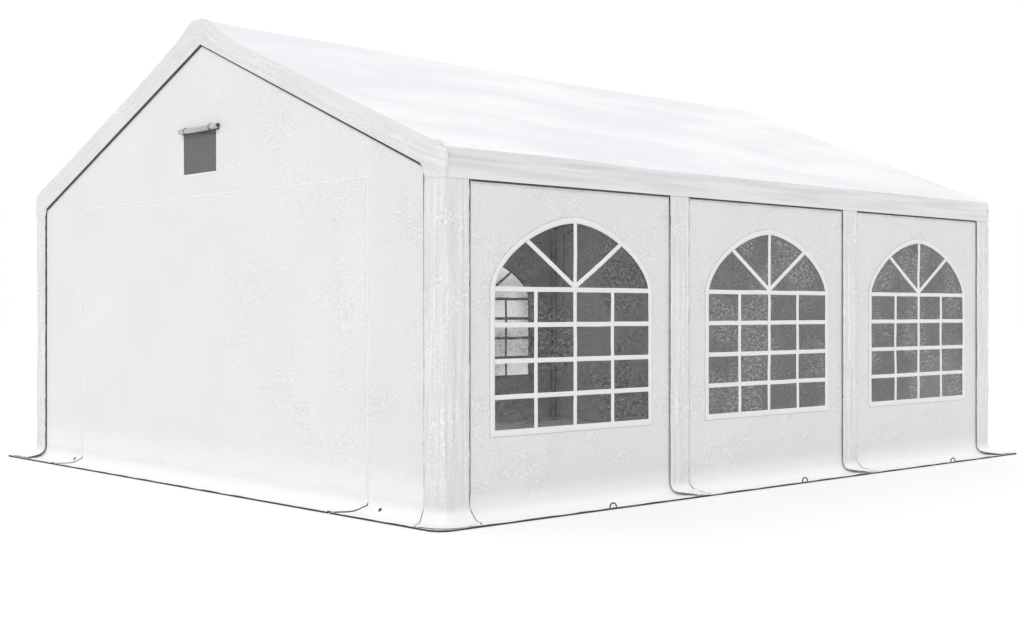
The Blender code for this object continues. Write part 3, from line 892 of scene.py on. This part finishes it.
def panel_line(low_x, high_x):
    """Points round a panel's edge, in step with window_line: the arch takes in both upper corners."""
    upper = ARCH_STEPS // 4
    across = ARCH_STEPS - 2 * upper
    x = stretches(low_x, (high_x, FOOT_STEPS), (high_x, SIDE_STEPS + upper), (low_x, across),
                  (low_x, SIDE_STEPS + upper))
    z = stretches(WALL_LOW, (WALL_LOW, FOOT_STEPS), (WINDOW_SPRING, SIDE_STEPS), (WALL_TOP, upper),
                  (WALL_TOP, across), (WINDOW_SPRING, upper), (WALL_LOW, SIDE_STEPS))
    return x[:-1], z[:-1]


WINDOWS = []
for side, word in LONG_SIDES:
    for number in (1, 2, 3):
        middle = sum(span(f"window_{word}_{number}", 0)) / 2
        window = (side, word, number, middle, 200 + 20 * number + side)
        WINDOWS.append(window)
        inner_x, inner_z = window_line(PANEL_INSET)
        outer_x, outer_z = panel_line(*(edge - middle for edge in span(f"wall_{word}_{number}", 0)))
        share = np.linspace(0, 1, 34)[:, None]
        x = inner_x + (outer_x - inner_x) * share
        z = inner_z + (outer_z - inner_z) * share
        pucker = 0.0009 * ripples(x, z, window[-1] + 9, 0.05) * np.exp(-share * 6)
        cloth(f"wall_{word}_panel_{number}", [on_wall(window, x, z, pucker, closed=True)], WALL_WHITE,
              [f"wall_{word}_{number}"])

# Windows
# Clear film is welded behind each opening. White strips on its face make the arched frame and the
# bars: a centre bar, two shorter ones, four levels and two rays. Their weld shows as a grey line.
FILM_INSET = 0.006
FILM_SINK = 0.0030
# from window to window, so that each has its own flecks and haze
FILM_STEP = 3.1
BAR_SINK = 0.0022
BAR_HALF = 0.0145
BAR_INSET = 0.024
BAR_LEVELS = (0.697, 0.904, 1.115, WINDOW_SPRING)
BAR_ACROSS = 0.3297
RAY_END = (0.403, 1.609)
RAY_START = 1.342
# across a bar in half widths, and up from the film
BAR_SECTION = ((-1, 0), (-0.9, 0.0016), (-0.45, 0.0021), (0, 0.0023), (0.45, 0.0021), (0.9, 0.0016), (1, 0))
# in from the opening's edge, up from the wall, and flat v
FRAME_SECTION = ((-0.0125, 0.0007, 0.02), (-0.009, 0.0018, 0.13), (-0.008, 0.0023, 0.2),
                 (0.010, 0.0028, 0.5), (0.026, 0.0020, 0.9), (0.028, -0.0008, 1.0))


def film_finish():
    """Clear film, a little smoky: see-through, darker and rippled, with small flecks in patches painted light
    and dark as glints and shade of its ripples.

    By the first flat coordinate it is painted paler from the second bay on, for the brighter light in those
    panes, and clearer in the back wall.
    """
    made = Finish("clear_film", {"Specular IOR Level": 0.6})
    where = made.cloth_place()
    u = made.split(where)[0]
    wide = made.noise(made.stretched(where, 36.0, 66.0), 1.0, 2.0, 0.9)
    # painted light and shade: flecks paler and darker, as glints off the ripples; they also roughen and bump
    # the film
    painted_ripple_shading = made.step(wide, 0.36, 0.64)
    island = made.step(made.noise(where, 2.4, 1.0), 0.42, 0.62)
    strength = made.size(painted_ripple_shading * 2 - 1) * (island * 0.16 + 0.04)
    clear = made.blend(painted_ripple_shading, shade(0.0), shade(0.16))
    # painted light: the film is paler from the second bay on
    painted_paler_film = made.blend(painted_ripple_shading, shade(0.11), shade(0.36))
    front = made.step(u, -1.0, 1.0) * 0.55 + 0.45
    return made.done({"Base Color": made.blend(made.step(u, 3.9, 5.4), clear, painted_paler_film),
                      "Alpha": (strength + island * 0.26 + 0.26) * front,
                      "Roughness": wide * 0.2 + 0.05, "Normal": made.bump(wide, 0.008)})


def strip_finish():
    """White welded strips, with a fine weave and a thin grey weld line at flat v below 0.13."""
    made = Finish("window_strips", {"Roughness": 0.38})
    where = made.solid_place()
    cloud = made.noise(where, 14.0, 3.0)
    fine = made.noise(where, 260.0)
    weld = made.step(made.split(made.cloth_place())[1], 0.06, 0.13)
    white = made.blend(cloud, shade(0.78), shade(0.86))
    return made.done({"Base Color": made.blend(weld, shade(0.36), white),
                      "Normal": made.bump(fine * 0.3 + cloud, 0.0006)})


def film_patch(window):
    """Film in columns from the foot to the arch, closer together near the sides."""
    side, _, number, _, seed = window
    half, foot = WINDOW_HALF - FILM_INSET, WINDOW_FOOT + FILM_INSET
    x = half * np.sin(np.linspace(-QUARTER, QUARTER, 57))[None, :]
    arch = np.clip(1 - np.abs(x / half) ** ARCH_POWER, 0, 1) ** (1 / ARCH_POWER)
    top = WINDOW_SPRING + (WINDOW_TOP - WINDOW_SPRING - FILM_INSET) * arch
    z = foot + (top - foot) * np.linspace(0, 1, 60)[:, None]
    wobble = 0.0010 * ripples(x, z * 0.4, seed + 11, 0.13, 0.1, 1.2) + 0.0004 * ripples(x, z, seed + 12, 0.04)
    return on_wall(window, x, z, wobble - FILM_SINK, grid(x - side * FILM_STEP * number, z))


def strip_patch(window, start, end):
    """A flat welded strip between two places on a window, with a low rounded section."""
    start, end = np.array(start), np.array(end)
    length = np.hypot(*(end - start))
    way = (end - start) / length
    run = np.linspace(0, length, 44)[:, None]
    across, height = np.array(BAR_SECTION).T
    across = across * BAR_HALF
    x = start[0] + way[0] * run - way[1] * across
    z = start[1] + way[1] * run + way[0] * across
    wander = 0.0008 * ripples(x, z, window[-1] + 13, 0.30)
    x, z = x + wander * way[1], z - wander * way[0]
    return on_wall(window, x, z, height - BAR_SINK, grid(run, 0.5 + across))


def window_strips(window):
    """The arched frame as a closed ring, then the bars inside it."""
    shrink, height, v = np.array(FRAME_SECTION).T[:, :, None]
    x, z = np.array([window_line(inset) for inset in shrink[:, 0]]).swapaxes(0, 1)
    shapes = [on_wall(window, x, z, height, grid(x, v), closed=True)]
    inner, foot = WINDOW_HALF - BAR_INSET, WINDOW_FOOT + BAR_INSET
    bars = [((0, foot), (0, WINDOW_TOP - BAR_INSET))]
    bars += [((x, foot), (x, WINDOW_SPRING)) for x in (-BAR_ACROSS, BAR_ACROSS)]
    bars += [((-inner, z), (inner, z)) for z in BAR_LEVELS]
    bars += [((0, RAY_START), (x * RAY_END[0], RAY_END[1])) for x in (-1, 1)]
    return shapes + [strip_patch(window, start, end) for start, end in bars]


FILM = film_finish()
STRIP = strip_finish()
for window in WINDOWS:
    place = f"{window[1]}_{window[2]}"
    strips = piece(f"window_strips_{place}", window_strips(window), STRIP)
    film = piece(f"window_film_{place}", [film_patch(window)], FILM, [f"window_{place}"])

# Gable walls
# The gable wall is one sheet with a wide door between two zips. The door's top is a welded seam. A
# square vent is cut out high in the middle.
DOOR_TOP = 1.99
DOOR_SIDES = (-1.90, 1.80)
VENT_SIDES = (-0.195, 0.238)
VENT_LOW, VENT_HIGH = span("vent_mesh_left", 2)
GABLE_GAP = 0.006
# the gable's paler foot is painted light
GABLE_WHITE = tarpaulin("gable_tarpaulin", 0.835, 0.018, 0.42, 3.0, 0.08, foot=(0.89, 0.10, 0.40),
                        crinkle_fade=(-1.1, 0.5))
# across a zip and a seam, and up from the wall
ZIP_SECTION = ((-0.0125, 0.0004), (-0.0118, 0.0013), (-0.003, 0.0014), (-0.002, 0.0026), (0, 0.0031),
               (0.002, 0.0026), (0.003, 0.0014), (0.0118, 0.0013), (0.0125, 0.0004))
SEAM_SECTION = ((-0.0085, -0.0002), (-0.0078, 0.0011), (0, 0.0015), (0.0078, 0.0011), (0.0085, -0.0002))


def gable_relief(side, y, z):
    """How far a gable wall stands out. It stays flat where the trim and the corner covers lie on it."""
    seed = 400 + 30 * side
    room = roof_top(y) - 0.16 - z
    free = ease((np.minimum(room, CORNER_Y - np.abs(y)) + 0.02) / 0.30)
    loose = 0.006 * np.cos(math.pi * y / 2 / WALL_FRONT) * np.sin(math.pi * np.clip(z / 2.9, 0, 1))
    loose = loose + 0.0042 * ripples(y, z * 0.8, seed, 0.75, 0.5, 1.4)
    loose = loose + 0.0018 * ripples(y, z, seed + 1, 0.30, 0.9, 1.2)
    loose = loose + 0.0020 * ripples(y, z * 0.3, seed + 2, 0.12, 0, 0.5) * ease((0.5 - np.abs(room)) / 0.45)
    small = 0.0013 * creases(y, z, seed + 4, 0.24, 0.8, 1.3) + 0.0008 * ripples(y, z, seed + 5, 0.07)
    total = free * loose + small * (0.4 + 0.6 * patches(y, z, seed + 3, 0.8))
    total = total + 0.0022 * ripples(y, z, seed + 6, 0.10, 0.3, 1.5) * ease((0.42 - z) / 0.3)
    return (total + 0.0008 * packed_folds(y, z, seed + 7)) * ease((z - 0.11) / 0.12)


def off_gable(side, y, z, lift, keep=None):
    """A patch in front of a gable's plane by lift, less the quads where keep is False."""
    return patch(grid(side * (WALL_SIDE + lift), y, z), grid(y, z), (side, 0, 0), keep)


def fanned(level, start, top):
    """Levels from a start to the ridge, drawn together so that they reach the rake instead."""
    return start + (level - start) * (top - start) / (RIDGE_Z - GABLE_GAP - start)


def gable_patch(side):
    """Columns across the gable and rows that fan from the foot to the rake, less door and vent."""
    y = stretches(-WALL_FRONT, (DOOR_SIDES[0], 27), (VENT_SIDES[0], 60), (VENT_SIDES[1], 18),
                  (DOOR_SIDES[1], 58), (WALL_FRONT, 28))[None, :]
    level = stretches(WALL_LOW, (DOOR_TOP, 66), (VENT_LOW, 8), (VENT_HIGH, 12),
                      (RIDGE_Z - GABLE_GAP, 24))[:, None]
    top = roof_top(y) - GABLE_GAP
    fan = fanned(level, DOOR_TOP, top)
    straight = np.where(level > VENT_HIGH, fanned(level, VENT_HIGH, top), level)
    z = np.where(level > DOOR_TOP, straight + (fan - straight) * ease((np.abs(y) - 0.3) / 0.5), level)
    mid_y, mid_level = (y[:, 1:] + y[:, :-1]) / 2, (level[1:] + level[:-1]) / 2
    door = (mid_level < DOOR_TOP) & (mid_y > DOOR_SIDES[0]) & (mid_y < DOOR_SIDES[1])
    vent = (mid_y > VENT_SIDES[0]) & (mid_y < VENT_SIDES[1])
    vent = vent & (mid_level > VENT_LOW) & (mid_level < VENT_HIGH)
    return off_gable(side, y, z, gable_relief(side, y, z), ~(door | vent))


def door_patch(side):
    """The door between its zips, with the same relief as the wall round it and its own slack."""
    y, z = np.meshgrid(np.linspace(*DOOR_SIDES, 136), np.linspace(WALL_LOW, DOOR_TOP, 72))
    slack = 0.004 * ease((1.85 - np.abs(y + 0.05)) / 0.5) * ease((DOOR_TOP - z) / 0.4)
    slack = slack * ripples(y, z * 0.5, 409 + 30 * side, 0.6, 0.2, 1.0)
    return off_gable(side, y, z, gable_relief(side, y, z) + slack)


def zip_finish():
    """White zip tape with a coil of teeth, a fine ripple along its length."""
    made = Finish("zip_tape", {"Roughness": 0.45})
    where = made.solid_place()
    teeth = made.wave(made.split(where)[2], 2100.0)
    return made.done({"Base Color": made.blend(made.noise(where, 30.0), shade(0.89), shade(0.94)),
                      "Normal": made.bump(teeth * 0.5 + 0.5, 0.0006)})


ZIP = zip_finish()
for side, word in GABLES:
    cloth(f"gable_{word}_cloth", [gable_patch(side)], GABLE_WHITE,
          [f"gable_wall_{word}"])
    cloth(f"door_{word}_cloth", [door_patch(side)], GABLE_WHITE, [f"door_{word}"])
    shapes = []
    across, height = np.array(ZIP_SECTION).T
    z = np.linspace(0.10, DOOR_TOP, 120)[:, None]
    for at in DOOR_SIDES:
        shapes.append(off_gable(side, at + across, z, gable_relief(side, at, z) + height))
    across, height = np.array(SEAM_SECTION).T[:, :, None]
    y = np.linspace(*DOOR_SIDES, 160)[None, :]
    shapes.append(off_gable(side, y, DOOR_TOP + across, gable_relief(side, y, DOOR_TOP) + height))
    piece(f"zips_and_seam_{word}", shapes, ZIP)

# Vents
# Grey insect mesh fills each vent behind a white welded border. Its flap is rolled up above it on a
# dark core, and held by two ties. The roll is painted darker than the gable as its shade, and the
# core's darkness and a dark cord under the roll are painted shade too.
ROLL_RADIUS = 0.0185
ROLL_X = WALL_SIDE + 0.0012 + ROLL_RADIUS
ROLL_Z = VENT_HIGH + 0.019
ROLL_MIDDLE = 0.0055
ROLL_HALF = 0.2525
ROLL_SAG = 0.004
ROLL_TURNS = 1.7
ROLL_START = 2.4
CORE_RADIUS = 0.011
CORE_GAP = 0.0015
TIES_Y = (-0.147, 0.182)
TIE_RADIUS = 0.0022
# the slope and the height of the painted shadow line of a slack fold in the mesh
NET_FOLD_SHADOW = (0.098, 2.4246)
BORDER_WIDTH = 0.018
# out from the vent's edge, and up from the wall
BORDER_SECTION = ((BORDER_WIDTH, 0.0002), (0.017, 0.0016), (0.008, 0.0022), (0.001, 0.0018),
                  (0.0, -0.0032))


def tube(path, radius, sides=8):
    """A closed round tube along a path: at each point a circle square to the path, ends drawn shut.

    radius is one number, or one for each point of the path.
    """
    along = np.gradient(path, axis=0)
    along = along / np.linalg.norm(along, axis=1)[:, None]
    guide = np.where(np.abs(along[:, 2:]) > 0.95, [[1.0, 0, 0]], [[0, 0, 1.0]])
    first = np.cross(guide, along)
    first = first / np.linalg.norm(first, axis=1)[:, None]
    for i in range(1, len(first)):
        kept = first[i - 1] - along[i] * (first[i - 1] @ along[i])
        first[i] = kept / np.linalg.norm(kept)
    second = np.cross(along, first)
    turn = np.linspace(0, 2 * math.pi, sides + 1)[:-1, None]
    ring = np.cos(turn) * first[:, None] + np.sin(turn) * second[:, None]
    points = path[:, None] + ring * np.broadcast_to(radius, len(path))[:, None, None]
    ends = [np.repeat(path[at][None, None], sides, axis=1) for at in (0, -1)]
    return patch(join(ends[0], points, ends[1]), closed=True)


def mesh_finish():
    """Fine grey mesh: threads in two directions, darker holes, and a painted shadow line of a slack fold
    below the roll.
    """
    made = Finish("insect_mesh", {"Roughness": 0.8})
    where = made.cloth_place()
    u, v, _ = made.split(where)
    threads = made.wave(u, 2500.0) * made.wave(v, 2500.0)
    bands = made.noise(made.stretched(where, 9.0, 1.5), 3.0)
    colour = made.blend(bands * 0.7 + threads * 0.15 + 0.1, shade(0.115), shade(0.190))
    # painted shadow: a dark line standing for a slack fold below the roll
    painted_fold_shadow = made.step(made.size(v - u * NET_FOLD_SHADOW[0] - NET_FOLD_SHADOW[1]), 0.009, 0.003)
    colour = made.blend(painted_fold_shadow * made.step(u, 0.11, 0.06) * 0.6, colour, shade(0.05))
    return made.done({"Base Color": colour, "Alpha": threads * 0.04 + 0.93,
                      "Normal": made.bump(threads * 0.5 + 0.5, 0.0004)})


def shade_line_finish(name, level):
    """Soft dark tube for a painted line of shade: a little uneven in tone, ribbed, and near black high up,
    where the shade under the valance and trim is deepest.
    """
    made = Finish(name, {"Roughness": 0.6})
    where = made.solid_place()
    colour = made.blend(made.noise(where, 5.0, 3.0), shade(level * 0.8), shade(level * 1.25))
    # painted shade: near black high up, under the valance and the trim
    high = made.step(made.split(where)[2], 1.60, 1.90)
    return made.done({"Base Color": made.blend(high, colour, shade(0.05)),
                      "Normal": made.bump(made.noise(where, 180.0), 0.0004)})


def net_patch(side):
    """The mesh in its opening, sunk a little towards the middle."""
    across, up = np.meshgrid(np.linspace(0, 1, 40), np.linspace(0, 1, 30))
    y = VENT_SIDES[0] + (VENT_SIDES[1] - VENT_SIDES[0]) * across
    z = VENT_LOW + (VENT_HIGH - VENT_LOW) * up
    sink = 0.002 + 0.004 * np.sin(math.pi * across) * np.sin(math.pi * up)
    return off_gable(side, y, z, gable_relief(side, y, z) - sink)


def border_patches(side):
    """The welded strips below the vent and at its two sides."""
    low_y, high_y = VENT_SIDES
    across, height = np.array(BORDER_SECTION).T
    share = np.linspace(0, 1, 26)[:, None]
    shapes = []
    for start, end, level, way_y, way_z in ((low_y - BORDER_WIDTH, high_y + BORDER_WIDTH, VENT_LOW, 0, -1),
                                            (low_y, low_y, VENT_HIGH, -1, 0),
                                            (high_y, high_y, VENT_HIGH, 1, 0)):
        y = start + (end - start) * share + way_y * across
        z = VENT_LOW + (level - VENT_LOW) * share + way_z * across
        shapes.append(off_gable(side, y, z, gable_relief(side, y, z) + height))
    return shapes


def roll_patch(side):
    """The flap wound on its core, pinched by its ties and a little uneven."""
    turn = np.linspace(0, 2 * math.pi * ROLL_TURNS, 54)[:, None]
    share = np.linspace(-1, 1, 44)[None, :]
    radius = CORE_RADIUS + CORE_GAP + (ROLL_RADIUS - CORE_RADIUS - CORE_GAP) * turn / turn.max()
    pinch = 1 - 0.10 * (np.exp(-((share - 0.70) / 0.05) ** 2) + np.exp(-((share + 0.60) / 0.05) ** 2))
    radius = radius * pinch * (1 + 0.04 * ripples(share, turn * 0.02, 500 + side, 0.4))
    y = ROLL_MIDDLE + ROLL_HALF * share
    x = side * (ROLL_X + radius * np.cos(turn + ROLL_START))
    z = ROLL_Z - ROLL_SAG * (1 - share ** 2) + radius * np.sin(turn + ROLL_START)
    return patch(grid(x, y, z), grid(y, turn * 0.014), (0, 0, 0))


def core_and_ties(side):
    """The roll's core, near black as painted shade inside the roll, a dark cord below it as painted shade
    under the roll, and two loops round the roll.
    """
    share = np.linspace(-1, 1, 40)
    sag = 1 - share ** 2
    # painted shade: a near black core inside the roll, and a dark cord along the shade under it
    core = grid(side * ROLL_X, ROLL_MIDDLE + (ROLL_HALF - 0.001) * share, ROLL_Z - ROLL_SAG * sag)
    under_roll_shade = grid(side * (WALL_SIDE + 0.006), ROLL_MIDDLE + 0.240 * share, VENT_HIGH - 0.0015 - 0.003 * sag)
    shapes = [tube(core, CORE_RADIUS, 14), tube(under_roll_shade, 0.0048)]
    turn = np.linspace(math.pi, 3 * math.pi - 0.2, 30)
    radius = ROLL_RADIUS + 0.0012
    for at in TIES_Y:
        loop = grid(side * (ROLL_X + radius * np.cos(turn)), at + 0.003 * np.sin(turn * 0.5),
                    ROLL_Z - 0.002 + radius * np.sin(turn))
        shapes.append(tube(loop, TIE_RADIUS))
    return shapes


# near black: painted shade for the vent's core, under its roll, along the back rakes and under the flaps'
# outer edges; the vent's ties use it too
DARK_PAINTED_SHADE = shade_line_finish("near_black_painted_shade", 0.035)
MESH = mesh_finish()
# painted shade: the rolled flap is much darker than the gable sheet, and its streaks carry painted light and
# shade
ROLL_SHADED = tarpaulin("rolled_tarpaulin", 0.56, 0.0, 0.42, 2.4, 0.2, streaks=(3.0, 60.0))
for side, word in GABLES:
    net = piece(f"vent_mesh_{word}_net", [net_patch(side)], MESH, [f"vent_mesh_{word}"])
    piece(f"vent_border_{word}", border_patches(side), ZIP)
    cloth(f"vent_flap_{word}_roll", [roll_patch(side)], ROLL_SHADED,
          [f"vent_flap_{word}"])
    piece(f"vent_core_and_ties_{word}", core_and_ties(side), DARK_PAINTED_SHADE, weld=True)

# Painted shade lines
# Where a cover or the valance ends over a wall panel, a round grey tube stands in for the shade in the
# gap between them. It follows each panel's outline and runs out on to the ground flap.
LID_RADIUS = 0.0068
RAKE_RADIUS = 0.0098
SHADE_LINE_OUT = 0.004
# along a long wall: how far in its left run lies, and the radii of its two left runs
FIRST_SHADE_LINE = (0.014, 0.0030, 0.0040)
OTHER_SHADE_LINE = (0.009, 0.0026, 0.0024)


def foot_path(at, way, wall, face, foot, taper):
    """Beside a cover's foot, from its free edge up to the wall: places along, outwards and up."""
    out, up, _ = foot_profile(np.linspace(0.004, foot[2] + 0.03, 34), foot)
    beside = ease(out / 0.02)
    return grid(at + way * tapered(out, taper), wall + (face - wall) * beside + out, up - 0.001 * beside)


def uneven_tube(parts, turned):
    """A tube along several paths, each with its own radius, mirrored by turned."""
    radii = join(*(np.broadcast_to(radius, len(path)) for path, radius in parts))
    return tube(join(*(path for path, _ in parts)) * turned, radii)


def panel_shade_line(side, low_x, high_x, low_foot, high_foot, first):
    """Up one side of a panel, along below the valance, and down the other side."""
    wall, top = WALL_FRONT + SHADE_LINE_OUT, VALANCE_FOOT - 0.004
    shift, foot_radius, rise_radius = FIRST_SHADE_LINE if first else OTHER_SHADE_LINE
    left = foot_path(low_x, -1, wall, COVER_FACE_Y, low_foot, FRONT_TAPER if first else POLE_FLARE)
    right = foot_path(high_x, 1, wall, COVER_FACE_Y, high_foot, POLE_TAPER)
    left[:, 0] += 0.010 + (shift - 0.010) * ease((left[:, 2] - 0.06) / 0.12)
    low_x += shift
    rises = [grid(x, wall, np.linspace(foot[-1, 2], top, 60)[1:])
             for x, foot in ((low_x, left), (high_x, right))]
    lid = grid(np.linspace(low_x, high_x, 70)[1:-1], wall, top)
    return uneven_tube([(left, foot_radius), (rises[0], rise_radius), (lid, LID_RADIUS),
                        (rises[1][::-1], 0.0020), (right[::-1], 0.0022)], (1, side, 1))


def gable_shade_line(side, flank):
    """Up beside a corner cover, round a bend below the trim, and along the rake to its middle."""
    near, front = (side, flank) == (-1, -1), flank < 0
    wall = WALL_SIDE + SHADE_LINE_OUT
    edge = CORNER_Y - (0.0115 if front else 0.004)
    bend = 0.040 if front else 0.012
    rise_radius, rake_radius = (0.0054, 0.0054) if front else (0.0075, RAKE_RADIUS)
    knee = TRIM_APEX - TRIM_SLOPE * CORNER_Y - 0.005
    foot = foot_path(edge, 1, wall, COVER_FACE_X, LYING_FOOT if near else HIGH_FOOT,
                     SIDE_TAPER if near else NO_TAPER)
    up = grid(edge, wall, np.linspace(foot[-1, 2], knee - bend, 60)[1:])
    share = np.linspace(0, 1, 8)[1:, None]
    start, corner = np.array([edge, wall, knee - bend]), np.array([edge, wall, knee])
    end = np.array([edge - bend, wall, knee + bend * TRIM_SLOPE])
    turn = (1 - share) ** 2 * start + 2 * share * (1 - share) * corner + share ** 2 * end
    across = np.linspace(end[0], 0, 50)[1:]
    rake = grid(across, wall, end[2] + (TRIM_APEX - 0.005 - end[2]) * (1 - across / end[0]))
    parts = [(foot, 0.0026), (up, np.linspace(0.0030, rise_radius, len(up))), (turn, rake_radius),
             (rake, rake_radius)]
    return uneven_tube([(path[:, [1, 0, 2]], radius) for path, radius in parts], (side, flank, 1))


# grey painted shade, for the lines round the long walls' panels and along each gable's front flank
GREY_PAINTED_SHADE = shade_line_finish("grey_painted_shade_line", 0.26)
cover_edges = [-END_X + CORNER_COVER_FRONT]
for middle in POLE_COVERS_X:
    cover_edges += [middle - POLE_COVER_HALF, middle + POLE_COVER_HALF - COVER_TRIM]
cover_edges.append(END_X - CORNER_COVER_FRONT)
for side, word in LONG_SIDES:
    feet = [LYING_FOOT if side < 0 else HIGH_FOOT, POLE_FOOT, POLE_FOOT, HIGH_FOOT]
    shapes = [panel_shade_line(side, cover_edges[2 * n], cover_edges[2 * n + 1] - 0.002, feet[n], feet[n + 1],
                           n == 0) for n in range(3)]
    piece(f"panel_shade_line_{word}", shapes, GREY_PAINTED_SHADE, weld=True)
for side, word in GABLES:
    for flank, flank_word in LONG_SIDES:
        piece(f"gable_shade_line_{word}_{flank_word}", [gable_shade_line(side, flank)],
              GREY_PAINTED_SHADE if flank < 0 else DARK_PAINTED_SHADE, weld=True)

# Flap edge shade lines
# A dark tube under the outer edge of each ground flap is painted shade. It shows as a thin dark line
# along the ground, and runs up both slits of the gable flaps.
EDGE_SHADE_RADIUS = 0.0045
SLIT_SHADE_RADIUS = 0.0034
EDGE_SHADE_Z = EDGE_SHADE_RADIUS + 0.0002
EDGE_SHADE_IN = 0.0055
EDGE_SHADE_WIDENING = 0.014

for side, word in LONG_SIDES:
    s, out, _, _ = flap_strip(LONG_FLAP_ENDS, PLUMB_FRONT, FLAP_EDGE_Y, 60 + side)
    path = grid(s[0], side * (out[0] - EDGE_SHADE_IN), EDGE_SHADE_Z)
    piece(f"flap_edge_shade_line_{word}", [tube(path, EDGE_SHADE_RADIUS)], DARK_PAINTED_SHADE, weld=True)
for side, word in GABLES:
    shapes = []
    for number, ends in enumerate(gable_flap_ends(0, EDGE_SHADE_WIDENING)):
        s, out, z, _ = flap_strip(ends, PLUMB_SIDE, FLAP_EDGE_X, 0)
        shapes.append(tube(grid(side * (out[0] - EDGE_SHADE_IN), s[0], EDGE_SHADE_Z), EDGE_SHADE_RADIUS))
        if number > 0:
            slit = grid(side * (out[:-6, 0] + 0.001), s[:-6, 0] - 0.006, z[:-6, 0] + 0.0015)
            shapes.append(tube(slit, SLIT_SHADE_RADIUS))
    piece(f"flap_edge_shade_line_{word}", shapes, DARK_PAINTED_SHADE, weld=True)

# Pegs and eyelets
# Bent steel pegs hold the outer edge of the front and back flaps down. The gable flaps have a
# punched steel eyelet beside each slit.
PEGS_X = (-1.79, 0.15, 2.105)
PEG_RADIUS = 0.0045
PEG_BEND = 0.024
PEG_IN = 0.012
PEG_LEAN = 0.004
PEG_Z = 0.014
EYELETS_Y = (-2.045, 1.895)
EYELET_OUT = 0.017
# out from an eyelet's middle, and up from the flap
EYELET_SECTION = ((0.0030, 0.0030), (0.0035, 0.0045), (0.0080, 0.0055), (0.0125, 0.0040), (0.0130, 0.0005))


def steel_finish():
    """Dark oiled steel, with a fine grain and a few brighter rubbed spots."""
    made = Finish("peg_steel", {"Metallic": 0.7})
    where = made.solid_place()
    rubbed = made.step(made.noise(where, 70.0, 3.0), 0.52, 0.66)
    return made.done({"Base Color": made.blend(rubbed, shade(0.06), shade(0.22)),
                      "Roughness": 0.5 - rubbed * 0.2, "Normal": made.bump(made.noise(where, 600.0), 0.0002)})


def peg(side, at):
    """A peg from the ground through the flap, over its edge and down again by a short tip."""
    turn = np.linspace(0, math.pi, 14)
    arch = grid(at - PEG_BEND * np.cos(turn), side * (FLAP_EDGE_Y - PEG_IN - PEG_LEAN * np.cos(turn)),
                PEG_Z + PEG_BEND * np.sin(turn))
    down = arch[:1] * [1, 1, 0] + [0, 0, PEG_RADIUS + 0.0005]
    leg = down + (arch[:1] - down) * np.linspace(0, 1, 4)[:-1, None]
    return tube(join(leg, arch, arch[-1:] + [[0.004, 0, -0.006]]), PEG_RADIUS)


def eyelet(side, at):
    """A rounded ring that lies on the bend of a gable's flap."""
    reach = FLAP_EDGE_X - PLUMB_SIDE
    inwards, up, angle = flared(np.linspace(0, 0.4, 400), reach)
    here = np.argmin(np.abs(reach - inwards - EYELET_OUT))
    sine, cosine = np.sin(angle[here]), np.cos(angle[here])
    turn = np.linspace(0, 2 * math.pi, 25)[None, :-1]
    radius, height = np.array(EYELET_SECTION).T[:, :, None]
    across = radius * np.cos(turn)
    x = PLUMB_SIDE + EYELET_OUT + cosine * across + sine * height
    z = FLAP_LIFT + up[here] - sine * across + cosine * height
    return patch(grid(side * x, at + radius * np.sin(turn), z), outside=(side, 0, 1), closed=True)


STEEL = steel_finish()
for side, word in LONG_SIDES:
    piece(f"pegs_{word}", [peg(side, at) for at in PEGS_X], STEEL, weld=True)
for side, word in GABLES:
    piece(f"eyelets_{word}", [eyelet(side, at) for at in EYELETS_Y], STEEL)

# Rail sleeves
# Short wider tubes join the rails at each frame. Their ends are rolled in.
SLEEVE_RADIUS = 0.0222
SLEEVE_REACH = 0.09
SLEEVE_ROLL = 0.0022
SLEEVE_LIP = 0.004

for name in ("eave_rail_front", "eave_rail_back", "ridge_rail"):
    y, z = (sum(span(name, axis)) / 2 for axis in (1, 2))
    sleeves = []
    for number, at in enumerate(FRAMES_X):
        start = at if number == 0 else at - SLEEVE_REACH
        end = at if number == 3 else at + SLEEVE_REACH
        along = np.linspace(start, end, 14)
        lip = (along - start < SLEEVE_LIP) | (end - along < SLEEVE_LIP)
        sleeves.append(tube(grid(along, y, z), SLEEVE_RADIUS - SLEEVE_ROLL * lip, 18))
    piece(f"{name}_sleeves", sleeves, ZINC, weld=True)
